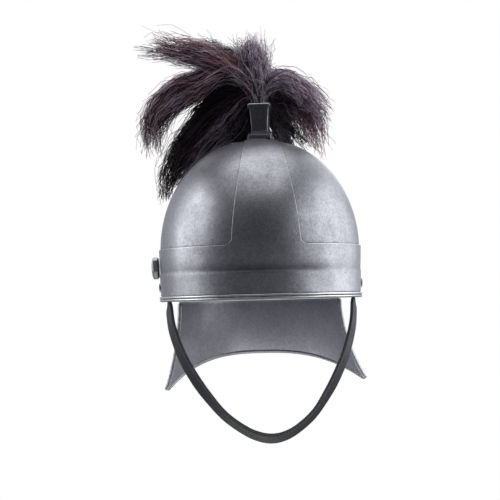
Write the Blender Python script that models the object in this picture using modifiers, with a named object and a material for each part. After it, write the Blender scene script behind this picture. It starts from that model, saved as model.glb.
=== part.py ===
"""Roman legionary helmet with a hair plume and a leather chin strap, in the form it has when worn.

Metres, +Z up. The origin is the middle of the head opening, level with the rim.
The front faces -Y, so -X is the wearer's right.
"""

from math import acos, atan2, cos, hypot, pi, radians, sin, sqrt

import bmesh
import bpy
from mathutils import Matrix, Vector

# Clearance between pieces that touch
GAP = 0.0003

# Skull: outside of the bare sheet
HALF_WIDTH = 0.1052
HALF_LENGTH = 0.1267
WALL_HEIGHT = 0.053
DOME_RISE = 0.1187
CROWN_FLAT = 0.0042
CROWN_FLAT_POWER = 18
WALL_DRAW = 0.0018
SHEET = 0.0020
ROUND_SIDES = 48
DOME_RINGS = 10

# Raised strap frame on the skull
FRAME_SHEET = 0.0012
BAND_TOP = 0.0545
BAND_STEP_HEIGHT = 0.031
BAND_STEP_RUN = 0.0025
BAND_STEP = 0.0005
STRAP_HALF_AT_BROW = 0.0347
STRAP_NARROWING = 0.52
STRAP_NARROWING_POWER = 1.5
STRAP_CORNER = 0.007

# The strap over the crown, the holder and the plume stand this far to the wearer's left
CREST_SIDE = 0.0040

# Double bead round the rim
BEAD_RADIUS = 0.00135
BEAD_PROUD = 0.0018

# Neck guard
GUARD_SHEET = 0.0028
GUARD_ROLL = 0.0050
GUARD_REACH = radians(60)
GUARD_DROP = 0.097
GUARD_BACK_DROP = 0.060
GUARD_DROP_POWER = 2.6
GUARD_SIDE_FLARE = 0.0268
GUARD_BACK_FLARE = 0.0338
GUARD_CORNER = 0.007
GUARD_LEAN = 0.007
GUARD_UNEVEN = 0.004
GUARD_COLUMNS = 36
GUARD_ROWS = 8

# Crest holder: a four-sided socket, waisted, on top of the frame
HOLDER_HEIGHT = 0.0377
HOLDER_HALF_WIDTH = 0.0136
HOLDER_DEPTH_RATIO = 1.4
HOLDER_WALL = 0.0024
HOLDER_SOCKET_DEPTH = 0.024
HOLDER_TURN = radians(-6)

# Side boss on the wearer's right
BOSS_RADIUS = 0.0122
BOSS_PROUD = 0.0080
BOSS_TURN = radians(13)
BOSS_HEIGHT = 0.036

# Chin strap
LEATHER = 0.0035
LEATHER_WIDTH = 0.022
LEATHER_DROP = 0.141
LEATHER_END_HEIGHT = 0.030
LEATHER_SLOPE = radians(24)
LEATHER_LEAN = 0.006

# Rivets that hold the chin strap
RIVET_HEIGHT = 0.015
RIVET_BACK = -0.008
RIVET_HEAD_RADIUS = 0.0048
RIVET_HEAD_HEIGHT = 0.0017
RIVET_SHANK_RADIUS = 0.0019
RIVET_WASHER = 0.0011

# Plume
PLUME_REACH = 0.127
ROOT_RADIUS = 0.017
LOCK_STEPS = 2

# Crest holder's outside, from lip to foot: height and half width, as shares of the two holder sizes
HOLDER_OUTSIDE = [
    {"height": 1.00, "half": 0.84},
    {"height": 0.97, "half": 0.91},
    {"height": 0.91, "half": 0.91},
    {"height": 0.86, "half": 0.80},
    {"height": 0.56, "half": 0.72},
    {"height": 0.36, "half": 0.67},
    {"height": 0.21, "half": 0.69},
    {"height": 0.13, "half": 0.79},
    {"height": 0.05, "half": 0.93},
    {"height": -0.03, "half": 1.00},
    {"height": -0.12, "half": 1.00},
]

# Side boss, from its face to its neck: height and radius, as shares of the two boss sizes
BOSS_OUTSIDE = [
    {"height": 1.00, "radius": 0.36},
    {"height": 0.93, "radius": 0.72},
    {"height": 0.77, "radius": 1.00},
    {"height": 0.18, "radius": 1.00},
    {"height": 0.13, "radius": 0.88},
    {"height": 0.00, "radius": 0.88},
]

# Half of the chin strap's loop: across as a share of its half span, down as a share of its drop
LEATHER_ROUTE = [
    {"across": 1.000, "down": 0.00},
    {"across": 0.993, "down": 0.07},
    {"across": 0.965, "down": 0.21},
    {"across": 0.875, "down": 0.40},
    {"across": 0.750, "down": 0.57},
    {"across": 0.615, "down": 0.71},
    {"across": 0.460, "down": 0.84},
    {"across": 0.270, "down": 0.94},
    {"across": 0.130, "down": 0.985},
]

# The plume's locks. Each row of a lock is across, back, up and thickness, as shares of PLUME_REACH,
# counted from the holder's lip
LOCKS = {
    "upper_right": [
        (-0.03, 0.00, 0.09, 0.06), (-0.14, 0.03, 0.25, 0.09), (-0.32, 0.08, 0.39, 0.10),
        (-0.52, 0.12, 0.49, 0.09), (-0.72, 0.14, 0.57, 0.07), (-0.88, 0.16, 0.68, 0.03),
    ],
    "right_point": [
        (-0.03, 0.00, 0.09, 0.06), (-0.16, -0.02, 0.21, 0.08), (-0.34, -0.05, 0.32, 0.09),
        (-0.54, -0.07, 0.38, 0.07), (-0.76, -0.08, 0.42, 0.05), (-0.99, -0.08, 0.45, 0.02),
    ],
    "right_droop": [
        (-0.03, 0.00, 0.09, 0.06), (-0.14, 0.01, 0.22, 0.09), (-0.33, 0.04, 0.25, 0.11),
        (-0.53, 0.07, 0.17, 0.13), (-0.67, 0.08, 0.10, 0.14), (-0.80, 0.09, -0.01, 0.14),
        (-0.88, 0.10, -0.15, 0.11), (-0.91, 0.10, -0.31, 0.06),
    ],
    "right_fall": [
        (-0.03, 0.03, 0.10, 0.07), (-0.11, 0.10, 0.10, 0.13), (-0.24, 0.18, 0.02, 0.17),
        (-0.38, 0.23, -0.13, 0.17), (-0.52, 0.25, -0.32, 0.14), (-0.65, 0.25, -0.49, 0.11),
        (-0.74, 0.24, -0.65, 0.07), (-0.78, 0.22, -0.79, 0.03),
    ],
    "right_saddle": [
        (-0.03, 0.03, 0.08, 0.07), (-0.12, 0.10, 0.02, 0.12), (-0.26, 0.14, -0.15, 0.14),
        (-0.40, 0.15, -0.28, 0.12), (-0.55, 0.15, -0.44, 0.09), (-0.66, 0.14, -0.60, 0.05),
    ],
    "right_fringe": [
        (-0.02, 0.05, 0.07, 0.08), (-0.08, 0.11, -0.05, 0.12), (-0.14, 0.12, -0.18, 0.12),
        (-0.19, 0.13, -0.30, 0.08),
    ],
    "crown_right": [
        (-0.02, 0.01, 0.09, 0.06), (-0.10, 0.06, 0.24, 0.10), (-0.22, 0.10, 0.37, 0.11),
        (-0.35, 0.13, 0.45, 0.10), (-0.48, 0.15, 0.53, 0.06),
    ],
    "crown_back": [
        (0.00, 0.03, 0.09, 0.06), (-0.06, 0.12, 0.22, 0.11), (-0.13, 0.18, 0.35, 0.11),
        (-0.20, 0.22, 0.46, 0.06),
    ],
    "tuft_right": [
        (-0.01, 0.00, 0.09, 0.06), (-0.03, 0.01, 0.26, 0.10), (-0.06, 0.02, 0.44, 0.10),
        (-0.09, 0.03, 0.59, 0.06),
    ],
    "tuft_left": [
        (0.01, 0.00, 0.09, 0.06), (0.02, -0.02, 0.26, 0.10), (0.05, -0.02, 0.44, 0.10),
        (0.08, -0.01, 0.58, 0.06),
    ],
    "left_arch": [
        (0.02, 0.00, 0.09, 0.06), (0.08, 0.00, 0.16, 0.09), (0.20, 0.01, 0.22, 0.11),
        (0.36, 0.01, 0.16, 0.11), (0.49, 0.01, 0.05, 0.09), (0.58, 0.01, -0.08, 0.04),
    ],
    "left_fall": [
        (0.02, 0.02, 0.09, 0.06), (0.09, 0.06, 0.13, 0.09), (0.22, 0.09, 0.15, 0.11),
        (0.35, 0.11, 0.07, 0.11), (0.45, 0.12, -0.07, 0.09), (0.50, 0.12, -0.21, 0.06),
        (0.52, 0.11, -0.34, 0.03),
    ],
    "left_fringe": [
        (0.02, 0.05, 0.07, 0.08), (0.08, 0.11, -0.03, 0.11), (0.15, 0.14, -0.16, 0.11),
        (0.22, 0.15, -0.28, 0.08),
    ],
    "left_back": [
        (0.02, 0.04, 0.09, 0.07), (0.08, 0.16, 0.09, 0.11), (0.17, 0.24, 0.01, 0.12),
        (0.27, 0.29, -0.11, 0.10), (0.35, 0.31, -0.24, 0.06), (0.41, 0.31, -0.34, 0.03),
    ],
    "nape_right": [
        (-0.03, 0.05, 0.09, 0.07), (-0.11, 0.18, 0.12, 0.12), (-0.23, 0.33, 0.02, 0.13),
        (-0.35, 0.46, -0.16, 0.11), (-0.44, 0.56, -0.39, 0.08), (-0.50, 0.62, -0.60, 0.02),
    ],
    "nape_middle": [
        (0.00, 0.05, 0.09, 0.07), (-0.04, 0.20, 0.14, 0.12), (-0.07, 0.38, 0.08, 0.13),
        (-0.09, 0.55, -0.08, 0.12), (-0.10, 0.69, -0.27, 0.10), (-0.10, 0.80, -0.47, 0.07),
        (-0.10, 0.88, -0.65, 0.02),
    ],
    "nape_left": [
        (0.02, 0.05, 0.09, 0.07), (0.06, 0.20, 0.11, 0.11), (0.12, 0.36, 0.04, 0.12),
        (0.18, 0.52, -0.11, 0.11), (0.23, 0.66, -0.31, 0.08), (0.25, 0.76, -0.51, 0.02),
    ],
}

PARTS = "legionary_helmet"
CUTTERS = "helmet_cutters"


def clear_scene():
    for obj in list(bpy.data.objects):
        bpy.data.objects.remove(obj, do_unlink=True)


def collection(name):
    made = bpy.data.collections.new(name)
    bpy.context.scene.collection.children.link(made)
    return made


def material(name, colour, roughness, metallic):
    made = bpy.data.materials.new(name)
    made.use_nodes = True
    shader = made.node_tree.nodes["Principled BSDF"]
    shader.inputs["Base Color"].default_value = (*colour, 1.0)
    shader.inputs["Roughness"].default_value = roughness
    shader.inputs["Metallic"].default_value = metallic
    return made


def add_part(name, mesh, look):
    """A visible sub-part from a finished bmesh."""
    data = bpy.data.meshes.new(name)
    bmesh.ops.recalc_face_normals(mesh, faces=mesh.faces)
    mesh.to_mesh(data)
    mesh.free()
    data.shade_smooth()
    data.set_sharp_from_angle(angle=radians(35))
    if look:
        data.materials.append(look)
    obj = bpy.data.objects.new(name, data)
    bpy.data.collections[PARTS].objects.link(obj)
    return obj


def as_cutter(obj):
    """Moves an object out of the model, where it only cuts or joins."""
    bpy.data.collections[PARTS].objects.unlink(obj)
    bpy.data.collections[CUTTERS].objects.link(obj)
    obj.hide_render = True
    obj.display_type = "WIRE"
    return obj


def boolean(obj, operation, other):
    modifier = obj.modifiers.new(operation.lower() + "_" + other.name, "BOOLEAN")
    modifier.operation = operation
    modifier.object = other
    modifier.solver = "EXACT"


def solidify(obj, thickness, offset):
    modifier = obj.modifiers.new("sheet", "SOLIDIFY")
    modifier.thickness = thickness
    modifier.offset = offset
    modifier.use_even_offset = True
    return modifier


def oval(angle, grow):
    """Point of the rim's oval, grow outside the bare skull; angle 0 is the back, 90 degrees is +X."""
    return Vector(((HALF_WIDTH + grow) * sin(angle), (HALF_LENGTH + grow) * cos(angle), 0.0))


def oval_outward(angle):
    return Vector((sin(angle) / HALF_WIDTH, cos(angle) / HALF_LENGTH, 0.0)).normalized()


def wall_draw(height):
    """How far the wall is drawn in at a height: nothing where the dome starts, most at the rim."""
    return WALL_DRAW * min(1.0, max(0.0, 1 - height / WALL_HEIGHT))


def frame_outside():
    """How far the frame's outer face lies outside the bare skull."""
    return GAP + FRAME_SHEET


def frame_crown():
    return WALL_HEIGHT + DOME_RISE + frame_outside() - CROWN_FLAT


def ellipsoid(mesh, grow):
    """The whole ellipsoid of the dome, a little flattened at its crown."""
    bmesh.ops.create_uvsphere(
        mesh, u_segments=ROUND_SIDES, v_segments=2 * DOME_RINGS, radius=1.0
    )
    for vert in mesh.verts:
        vert.co.x *= HALF_WIDTH + grow
        vert.co.y *= HALF_LENGTH + grow
        share = vert.co.z
        flat = CROWN_FLAT * max(0.0, share) ** CROWN_FLAT_POWER
        vert.co.z = WALL_HEIGHT + share * (DOME_RISE + grow) - flat


def dome_sheet(name, grow, wall_rows, look):
    """An open dome on a straight oval wall: each row of the wall is a height and how far it stands proud."""
    mesh = bmesh.new()
    ellipsoid(mesh, grow)
    below = [vert for vert in mesh.verts if vert.co.z < WALL_HEIGHT - GAP]
    bmesh.ops.delete(mesh, geom=below, context="VERTS")
    for height, proud in wall_rows:
        border = [edge for edge in mesh.edges if edge.is_boundary]
        bmesh.ops.extrude_edge_only(mesh, edges=border)
        hem = {vert for edge in mesh.edges if edge.is_boundary for vert in edge.verts}
        for vert in hem:
            angle = atan2(vert.co.x / HALF_WIDTH, vert.co.y / HALF_LENGTH)
            vert.co = oval(angle, grow + proud - wall_draw(height)) + Vector((0.0, 0.0, height))
    return add_part(name, mesh, look)


def prism(name, outline, half_depth, matrix):
    """A flat outline, given in its own X and Y, thickened to both sides of its plane."""
    curve = bpy.data.curves.new(name, "CURVE")
    curve.dimensions = "2D"
    curve.fill_mode = "BOTH"
    curve.extrude = half_depth
    spline = curve.splines.new("POLY")
    spline.points.add(len(outline) - 1)
    for point, (x, y) in zip(spline.points, outline):
        point.co = (x, y, 0.0, 1.0)
    spline.use_cyclic_u = True
    return mesh_from_curve(name, curve, matrix, None)


def mesh_from_curve(name, curve, matrix, look):
    """The curve as a closed mesh object of its own; the curve itself is removed."""
    guide = bpy.data.objects.new(name + "_curve", curve)
    bpy.context.scene.collection.objects.link(guide)
    bpy.context.view_layer.update()
    data = bpy.data.meshes.new_from_object(
        guide.evaluated_get(bpy.context.evaluated_depsgraph_get())
    )
    bpy.data.objects.remove(guide, do_unlink=True)
    mesh = bmesh.new()
    mesh.from_mesh(data)
    bpy.data.meshes.remove(data)
    bmesh.ops.remove_doubles(mesh, verts=mesh.verts, dist=0.00001)
    obj = add_part(name, mesh, look)
    obj.matrix_world = matrix
    return obj


def turned(name, profile, steps, look, square=False):
    """A profile of (radius, height) points turned round Z by a Screw modifier, its outer side top to bottom."""
    mesh = bmesh.new()
    verts = [mesh.verts.new((radius, 0.0, height)) for radius, height in profile]
    for start, end in zip(verts, verts[1:]):
        mesh.edges.new((start, end))
    if square:
        bmesh.ops.scale(mesh, vec=(sqrt(2), 1.0, 1.0), verts=mesh.verts)
        bmesh.ops.rotate(mesh, matrix=Matrix.Rotation(pi / 4, 3, "Z"), verts=mesh.verts)
    obj = add_part(name, mesh, look)
    screw = obj.modifiers.new("turned", "SCREW")
    screw.steps = steps
    screw.render_steps = steps
    screw.use_merge_vertices = True
    screw.merge_threshold = 0.00001
    screw.use_smooth_shade = steps > 8
    return obj


def strap_half(height):
    """Half width of the strap over the dome, seen from the front, at a height above the rim."""
    share = max(0.0, (height - BAND_TOP) / (frame_crown() - BAND_TOP))
    return STRAP_HALF_AT_BROW * (1 - STRAP_NARROWING * share**STRAP_NARROWING_POWER)


def rim_top():
    """Top of the double bead, under the frame's lower edge."""
    return 4 * BEAD_RADIUS


def frame_outline():
    """The frame seen from the front: a full band below, a narrowing strap above, rounded inner corners."""
    beyond = 1.3 * HALF_WIDTH
    top = 1.05 * frame_crown()
    side = [(beyond, rim_top() + GAP), (beyond, BAND_TOP)]
    for step in range(6):
        angle = step * pi / 10
        across = STRAP_HALF_AT_BROW + STRAP_CORNER * (1 - sin(angle))
        side.append((across, BAND_TOP + STRAP_CORNER * (1 - cos(angle))))
    first = BAND_TOP + STRAP_CORNER
    heights = [first + (frame_crown() - first) * step / 7 for step in range(1, 8)]
    side += [(strap_half(height), height) for height in heights]
    side.append((strap_half(frame_crown()), top))
    outline = side + [(-x, z) for x, z in reversed(side)]
    return [(x + CREST_SIDE, z) for x, z in outline]


def wall_matrix(side, back, height, grow):
    """Placement on the oval wall with local Z pointing straight out of it; side is -1 or 1."""
    grow -= wall_draw(height)
    angle = side * acos(back / (HALF_LENGTH + grow))
    place = oval(angle, grow) + Vector((0.0, 0.0, height))
    outward = oval_outward(angle) - Vector((0.0, 0.0, WALL_DRAW / WALL_HEIGHT))
    turn = outward.to_track_quat("Z", "X").to_matrix().to_4x4()
    return Matrix.Translation(place) @ turn


def make_bowl(look):
    bowl = dome_sheet("bowl", 0.0, [(0.0, 0.0)], look)
    solidify(bowl, SHEET, -1.0)
    return bowl


def make_frame(look):
    rows = [
        (BAND_STEP_HEIGHT + BAND_STEP_RUN, 0.0),
        (BAND_STEP_HEIGHT, BAND_STEP),
        (0.0, BAND_STEP),
    ]
    frame = dome_sheet("frame", frame_outside(), rows, look)
    solidify(frame, FRAME_SHEET, -1.0)
    upright = Matrix.Rotation(pi / 2, 4, "X")
    cutter = as_cutter(prism("frame_outline", frame_outline(), 1.5 * HALF_LENGTH, upright))
    boolean(frame, "INTERSECT", cutter)
    return frame


def make_rim_binding(look):
    """Two half-round beads one above the other, in one ring round the rim."""
    inner = GAP
    middle = frame_outside() + BAND_STEP + BEAD_PROUD - BEAD_RADIUS
    outline = [(inner, 0.0)]
    for bead in range(2):
        centre = (2 * bead + 1) * BEAD_RADIUS
        for step in range(5):
            angle = -pi / 2 + step * pi / 4
            if bead and step == 0:
                continue
            outline.append((middle + BEAD_RADIUS * cos(angle), centre + BEAD_RADIUS * sin(angle)))
    outline.append((inner, rim_top()))
    mesh = bmesh.new()
    verts = [mesh.verts.new((1.0 + across, 0.0, height)) for across, height in outline]
    edges = [mesh.edges.new((verts[i - 1], verts[i])) for i in range(len(verts))]
    bmesh.ops.spin(
        mesh, geom=verts + edges, axis=(0, 0, 1), cent=(0, 0, 0), steps=ROUND_SIDES,
        angle=2 * pi, use_merge=True,
    )
    for vert in mesh.verts:
        out = hypot(vert.co.x, vert.co.y) - 1.0
        spot = oval(atan2(vert.co.x, vert.co.y), out - wall_draw(vert.co.z))
        vert.co = (spot.x, spot.y, vert.co.z)
    return add_part("rim_binding", mesh, look)


def guard_drop(along, corner_distance):
    """Depth of the guard's lower edge below the rim; along runs from -1 at the wearer's right to 1."""
    depth = GUARD_DROP - GUARD_UNEVEN * along - GUARD_BACK_DROP
    drop = GUARD_BACK_DROP + depth * abs(along) ** GUARD_DROP_POWER
    if corner_distance < GUARD_CORNER:
        inside = GUARD_CORNER - corner_distance
        drop -= GUARD_CORNER - sqrt(GUARD_CORNER**2 - inside**2)
    return drop


def guard_point(along, down):
    """Point on the middle of the guard's sheet, down 0 at the rim and 1 at the lower edge."""
    angle = along * GUARD_REACH
    edge_distance = (1 - abs(along)) * GUARD_REACH * HALF_LENGTH
    drop = down * guard_drop(along, edge_distance)
    curl = (drop / GUARD_DROP) ** 2
    flare = GUARD_BACK_FLARE + (GUARD_SIDE_FLARE - GUARD_BACK_FLARE) * along**2
    place = oval(angle, -SHEET / 2 - WALL_DRAW) + oval_outward(angle) * flare * curl
    return place + Vector((GUARD_LEAN * curl, 0.0, -GAP - drop))


def with_hem(value, cells, hem_share):
    """Spreads an even grid value from -1 to 1, so that the outermost cells are hem_share wide."""
    inner = 1 - 2 / cells
    if abs(value) <= inner + 0.001:
        return value / inner * (1 - hem_share)
    return 1.0 if value > 0 else -1.0


def make_neck_guard(look):
    mesh = bmesh.new()
    bmesh.ops.create_grid(mesh, x_segments=GUARD_COLUMNS, y_segments=GUARD_ROWS, size=1.0)
    side_hem = GUARD_ROLL / (GUARD_REACH * HALF_LENGTH)
    hems = []
    for vert in mesh.verts:
        along = with_hem(vert.co.x, GUARD_COLUMNS, side_hem)
        down = (1 - vert.co.y) / 2
        lower_hem = GUARD_ROLL / guard_drop(along, GUARD_CORNER)
        last_row = 1 - 1 / GUARD_ROWS
        if down < last_row + 0.001:
            down = down / last_row * (1 - lower_hem)
        hems.append(abs(along) > 1 - 1.5 * side_hem or down > 1 - 1.5 * lower_hem)
        vert.co = guard_point(along, down)
    guard = add_part("neck_guard", mesh, look)
    roll = guard.vertex_groups.new(name="rolled_edge")
    roll.add([index for index, hem in enumerate(hems) if hem], 1.0, "REPLACE")
    sheet = solidify(guard, GUARD_ROLL, 0.0)
    sheet.vertex_group = roll.name
    sheet.thickness_vertex_group = GUARD_SHEET / GUARD_ROLL
    return guard


def holder_foot():
    return frame_crown() + GAP


def holder_profile(socket_half):
    """Socket floor, socket wall, lip, then the outside down to the foot and back to the axis."""
    lip = holder_foot() + HOLDER_HEIGHT
    floor = lip - HOLDER_SOCKET_DEPTH
    points = [(0.0, floor), (socket_half, floor), (socket_half, lip)]
    for row in HOLDER_OUTSIDE:
        half = row["half"] * HOLDER_HALF_WIDTH
        points.append((half, holder_foot() + row["height"] * HOLDER_HEIGHT))
    points.append((0.0, points[-1][1]))
    return points


def socket_half():
    slimmest = min(row["half"] for row in HOLDER_OUTSIDE)
    return slimmest * HOLDER_HALF_WIDTH - HOLDER_WALL


def four_sided(name, profile, look):
    obj = turned(name, profile, 4, look, square=True)
    obj.scale = (1.0, HOLDER_DEPTH_RATIO, 1.0)
    obj.rotation_euler.z = HOLDER_TURN
    obj.location.x = CREST_SIDE
    return obj


def make_crest_holder(look, dome_cutter):
    holder = four_sided("crest_holder", holder_profile(socket_half()), look)
    boolean(holder, "DIFFERENCE", dome_cutter)
    return holder


def dome_cutter(name, clearance):
    """The whole ellipsoid that the frame's dome belongs to, grown by a clearance."""
    mesh = bmesh.new()
    ellipsoid(mesh, frame_outside() + clearance)
    return as_cutter(add_part(name, mesh, None))


def make_side_boss(look):
    profile = [(row["radius"] * BOSS_RADIUS, row["height"] * BOSS_PROUD) for row in BOSS_OUTSIDE]
    profile = [(0.0, profile[0][1])] + profile + [(0.0, profile[-1][1])]
    boss = turned("side_boss", profile, 6, look)
    grow = frame_outside() + BAND_STEP + GAP
    boss.matrix_world = wall_matrix(-1, 0.0, BOSS_HEIGHT, grow) @ Matrix.Rotation(BOSS_TURN, 4, "Z")
    return boss


def leather_half_span():
    """Middle of the leather to the helmet's middle, where it lies against the wall's facets at the rim."""
    front = RIVET_BACK - RIVET_HEIGHT * sin(LEATHER_SLOPE) / cos(LEATHER_SLOPE)
    front -= LEATHER_WIDTH / 2 * cos(LEATHER_SLOPE)
    inner_width = HALF_WIDTH - SHEET - WALL_DRAW
    inner_length = HALF_LENGTH - SHEET - WALL_DRAW
    wall = inner_width * sqrt(1 - (front / inner_length) ** 2)
    return wall * cos(pi / ROUND_SIDES) - GAP - LEATHER / 2


def leather_points():
    """The loop in its own plane: across, and up the slope from the rivets."""
    span = leather_half_span()
    slope = cos(LEATHER_SLOPE)
    half = [(span, 0.0, (LEATHER_END_HEIGHT - RIVET_HEIGHT) / slope)]
    half.append((span, 0.0, 0.0))
    for row in LEATHER_ROUTE:
        height = -row["down"] * LEATHER_DROP - RIVET_HEIGHT
        half.append((row["across"] * span, LEATHER_LEAN * row["down"] ** 2, height / slope))
    bottom = (LEATHER_LEAN, (-LEATHER_DROP - RIVET_HEIGHT) / slope)
    right = [(-across + lean, up) for across, lean, up in half]
    left = [(across + lean, up) for across, lean, up in reversed(half)]
    return right + [bottom] + left


def make_chin_strap(look):
    curve = bpy.data.curves.new("chin_strap", "CURVE")
    curve.dimensions = "2D"
    curve.fill_mode = "NONE"
    curve.extrude = LEATHER_WIDTH / 2
    curve.resolution_u = 4
    spline = curve.splines.new("BEZIER")
    points = leather_points()
    spline.bezier_points.add(len(points) - 1)
    for point, (across, up) in zip(spline.bezier_points, points):
        point.co = (across, up, 0.0)
        point.handle_left_type = "AUTO"
        point.handle_right_type = "AUTO"
    place = Matrix.Translation((0.0, RIVET_BACK, RIVET_HEIGHT))
    place = place @ Matrix.Rotation(pi / 2 - LEATHER_SLOPE, 4, "X")
    strap = mesh_from_curve("chin_strap", curve, place, look)
    solidify(strap, LEATHER, 0.0)
    return strap


def rivet_profile():
    radius = RIVET_HEAD_RADIUS
    head = RIVET_HEAD_HEIGHT
    base = GAP
    outside = HALF_WIDTH + frame_outside() + BAND_STEP - wall_draw(RIVET_HEIGHT)
    surface = sqrt(1 - (RIVET_BACK / HALF_LENGTH) ** 2) * outside
    inside = -(surface - leather_half_span() + LEATHER / 2 + 2 * GAP)
    washer = 0.8 * radius
    return [
        (0.0, head), (0.5 * radius, 0.92 * head), (0.85 * radius, 0.62 * head),
        (radius, base + 0.2 * head), (radius, base), (RIVET_SHANK_RADIUS, base),
        (RIVET_SHANK_RADIUS, inside), (washer, inside), (washer, inside - RIVET_WASHER),
        (0.0, inside - RIVET_WASHER),
    ]


def make_rivet(name, side, look, drilled):
    place = wall_matrix(side, RIVET_BACK, RIVET_HEIGHT, frame_outside() + BAND_STEP)
    rivet = turned(name, rivet_profile(), 16, look)
    rivet.matrix_world = place
    bore = RIVET_SHANK_RADIUS + GAP
    half = 6 * LEATHER
    cutter = turned(name + "_bore", [(0.0, half), (bore, half), (bore, -half), (0.0, -half)], 16, None)
    cutter.matrix_world = place
    as_cutter(cutter)
    for part in drilled:
        boolean(part, "DIFFERENCE", cutter)
    return rivet


def smooth_route(rows, steps):
    """Catmull-Rom points through the rows of a table, with steps to each stretch."""
    ends = [Vector(row) for row in rows]
    ends = [2 * ends[0] - ends[1]] + ends + [2 * ends[-1] - ends[-2]]
    route = []
    for before, start, end, after in zip(ends, ends[1:], ends[2:], ends[3:]):
        for step in range(steps):
            t = step / steps
            route.append(
                0.5 * (2 * start + (end - before) * t
                       + (2 * before - 5 * start + 4 * end - after) * t**2
                       + (3 * start - before - 3 * end + after) * t**3)
            )
    return route + [ends[-2]]


def make_lock(name, rows, look):
    """One tapered lock of hair, from the root to its tip."""
    lip = Vector((CREST_SIDE, 0.0, holder_foot() + HOLDER_HEIGHT))
    curve = bpy.data.curves.new(name, "CURVE")
    curve.dimensions = "3D"
    curve.bevel_depth = PLUME_REACH
    curve.bevel_resolution = 2
    curve.use_fill_caps = True
    spline = curve.splines.new("POLY")
    route = smooth_route([Vector(row) for row in rows], LOCK_STEPS)
    spline.points.add(len(route) - 1)
    for point, row in zip(spline.points, route):
        point.co = (*(lip + PLUME_REACH * row.xyz), 1.0)
        point.radius = row.w
    return mesh_from_curve(name, curve, Matrix(), look)


def make_root(look):
    """The ball that all locks start in."""
    mesh = bmesh.new()
    bmesh.ops.create_uvsphere(mesh, u_segments=14, v_segments=8, radius=ROOT_RADIUS)
    centre = (CREST_SIDE, 0.3 * ROOT_RADIUS, holder_foot() + HOLDER_HEIGHT + ROOT_RADIUS)
    bmesh.ops.translate(mesh, vec=centre, verts=mesh.verts)
    return add_part("plume", mesh, look)


def make_stem(look):
    """The bound stalk of the plume, which stands in the holder's socket."""
    lip = holder_foot() + HOLDER_HEIGHT
    bottom = lip - HOLDER_SOCKET_DEPTH + GAP
    half = socket_half() - GAP
    top = lip + ROOT_RADIUS
    return four_sided("stem", [(0.0, top), (half, top), (half, bottom), (0.0, bottom)], look)


def make_plume(look, dome):
    plume = make_root(look)
    for name, rows in LOCKS.items():
        boolean(plume, "UNION", as_cutter(make_lock("lock_" + name, rows, look)))
    outside = [(half + GAP, height) for half, height in holder_profile(0.0)[3:-1]]
    outside[0] = (outside[0][0], outside[0][1] + GAP)
    profile = [(0.0, outside[0][1])] + outside + [(0.0, outside[-1][1])]
    boolean(plume, "DIFFERENCE", as_cutter(four_sided("holder_clearance", profile, None)))
    boolean(plume, "DIFFERENCE", dome)
    boolean(plume, "UNION", as_cutter(make_stem(look)))
    return plume


def main():
    clear_scene()
    collection(PARTS)
    collection(CUTTERS)
    steel = material("aged_steel", (0.33, 0.33, 0.35), 0.38, 0.9)
    gunmetal = material("gunmetal", (0.05, 0.05, 0.06), 0.45, 0.8)
    leather = material("dark_leather", (0.02, 0.02, 0.025), 0.55, 0.0)
    hair = material("dark_hair", (0.02, 0.014, 0.016), 0.6, 0.0)

    bowl = make_bowl(steel)
    frame = make_frame(steel)
    make_rim_binding(steel)
    make_neck_guard(steel)
    make_crest_holder(gunmetal, dome_cutter("holder_seat", GAP))
    make_side_boss(steel)
    strap = make_chin_strap(leather)
    for name, side in (("strap_rivet_right", -1), ("strap_rivet_left", 1)):
        make_rivet(name, side, gunmetal, [bowl, frame, strap])
    make_plume(hair, dome_cutter("plume_clearance", 2 * GAP))


main()
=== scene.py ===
# %% [markdown]
# # A roman legionary helmet with a hair plume
#
# The helmet is a dome of grey sheet metal. A raised frame of straps lies on it, a double bead runs
# round its rim, a flared guard hangs at its back, and a plume of coarse horse hair stands in a
# socket on top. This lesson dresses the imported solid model: each piece is built again in finer
# meshes at exactly the same size and place, and gets a procedural finish.

from math import acos, asin, atan2, cos, hypot, pi, radians, sin, sqrt

import bmesh
import bpy
import numpy as np
from mathutils import Matrix, Vector, kdtree, noise


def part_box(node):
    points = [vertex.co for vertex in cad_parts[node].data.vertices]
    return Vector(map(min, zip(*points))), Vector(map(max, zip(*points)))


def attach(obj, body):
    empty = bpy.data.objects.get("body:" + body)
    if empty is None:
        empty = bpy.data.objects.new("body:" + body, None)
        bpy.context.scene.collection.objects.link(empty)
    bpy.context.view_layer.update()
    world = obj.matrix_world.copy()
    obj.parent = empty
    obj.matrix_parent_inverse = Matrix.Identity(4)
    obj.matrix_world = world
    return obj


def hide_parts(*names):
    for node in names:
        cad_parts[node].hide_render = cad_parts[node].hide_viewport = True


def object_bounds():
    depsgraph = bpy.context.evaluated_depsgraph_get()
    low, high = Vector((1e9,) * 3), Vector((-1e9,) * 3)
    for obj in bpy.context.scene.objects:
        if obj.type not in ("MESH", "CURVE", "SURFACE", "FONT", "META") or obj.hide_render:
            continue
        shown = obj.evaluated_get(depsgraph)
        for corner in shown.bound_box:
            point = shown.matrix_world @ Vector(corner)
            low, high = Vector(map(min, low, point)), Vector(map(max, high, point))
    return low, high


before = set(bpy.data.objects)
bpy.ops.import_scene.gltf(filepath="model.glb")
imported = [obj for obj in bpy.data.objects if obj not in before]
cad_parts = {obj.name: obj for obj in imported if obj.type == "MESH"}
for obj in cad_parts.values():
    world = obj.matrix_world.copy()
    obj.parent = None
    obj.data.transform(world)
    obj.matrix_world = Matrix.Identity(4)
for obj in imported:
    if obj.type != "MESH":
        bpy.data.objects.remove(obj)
CAD_LOW, CAD_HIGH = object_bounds()
print("nodes:", sorted(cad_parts))
print("CAD box in metres:", [round(v, 4) for v in (*CAD_LOW, *CAD_HIGH)])

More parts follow.
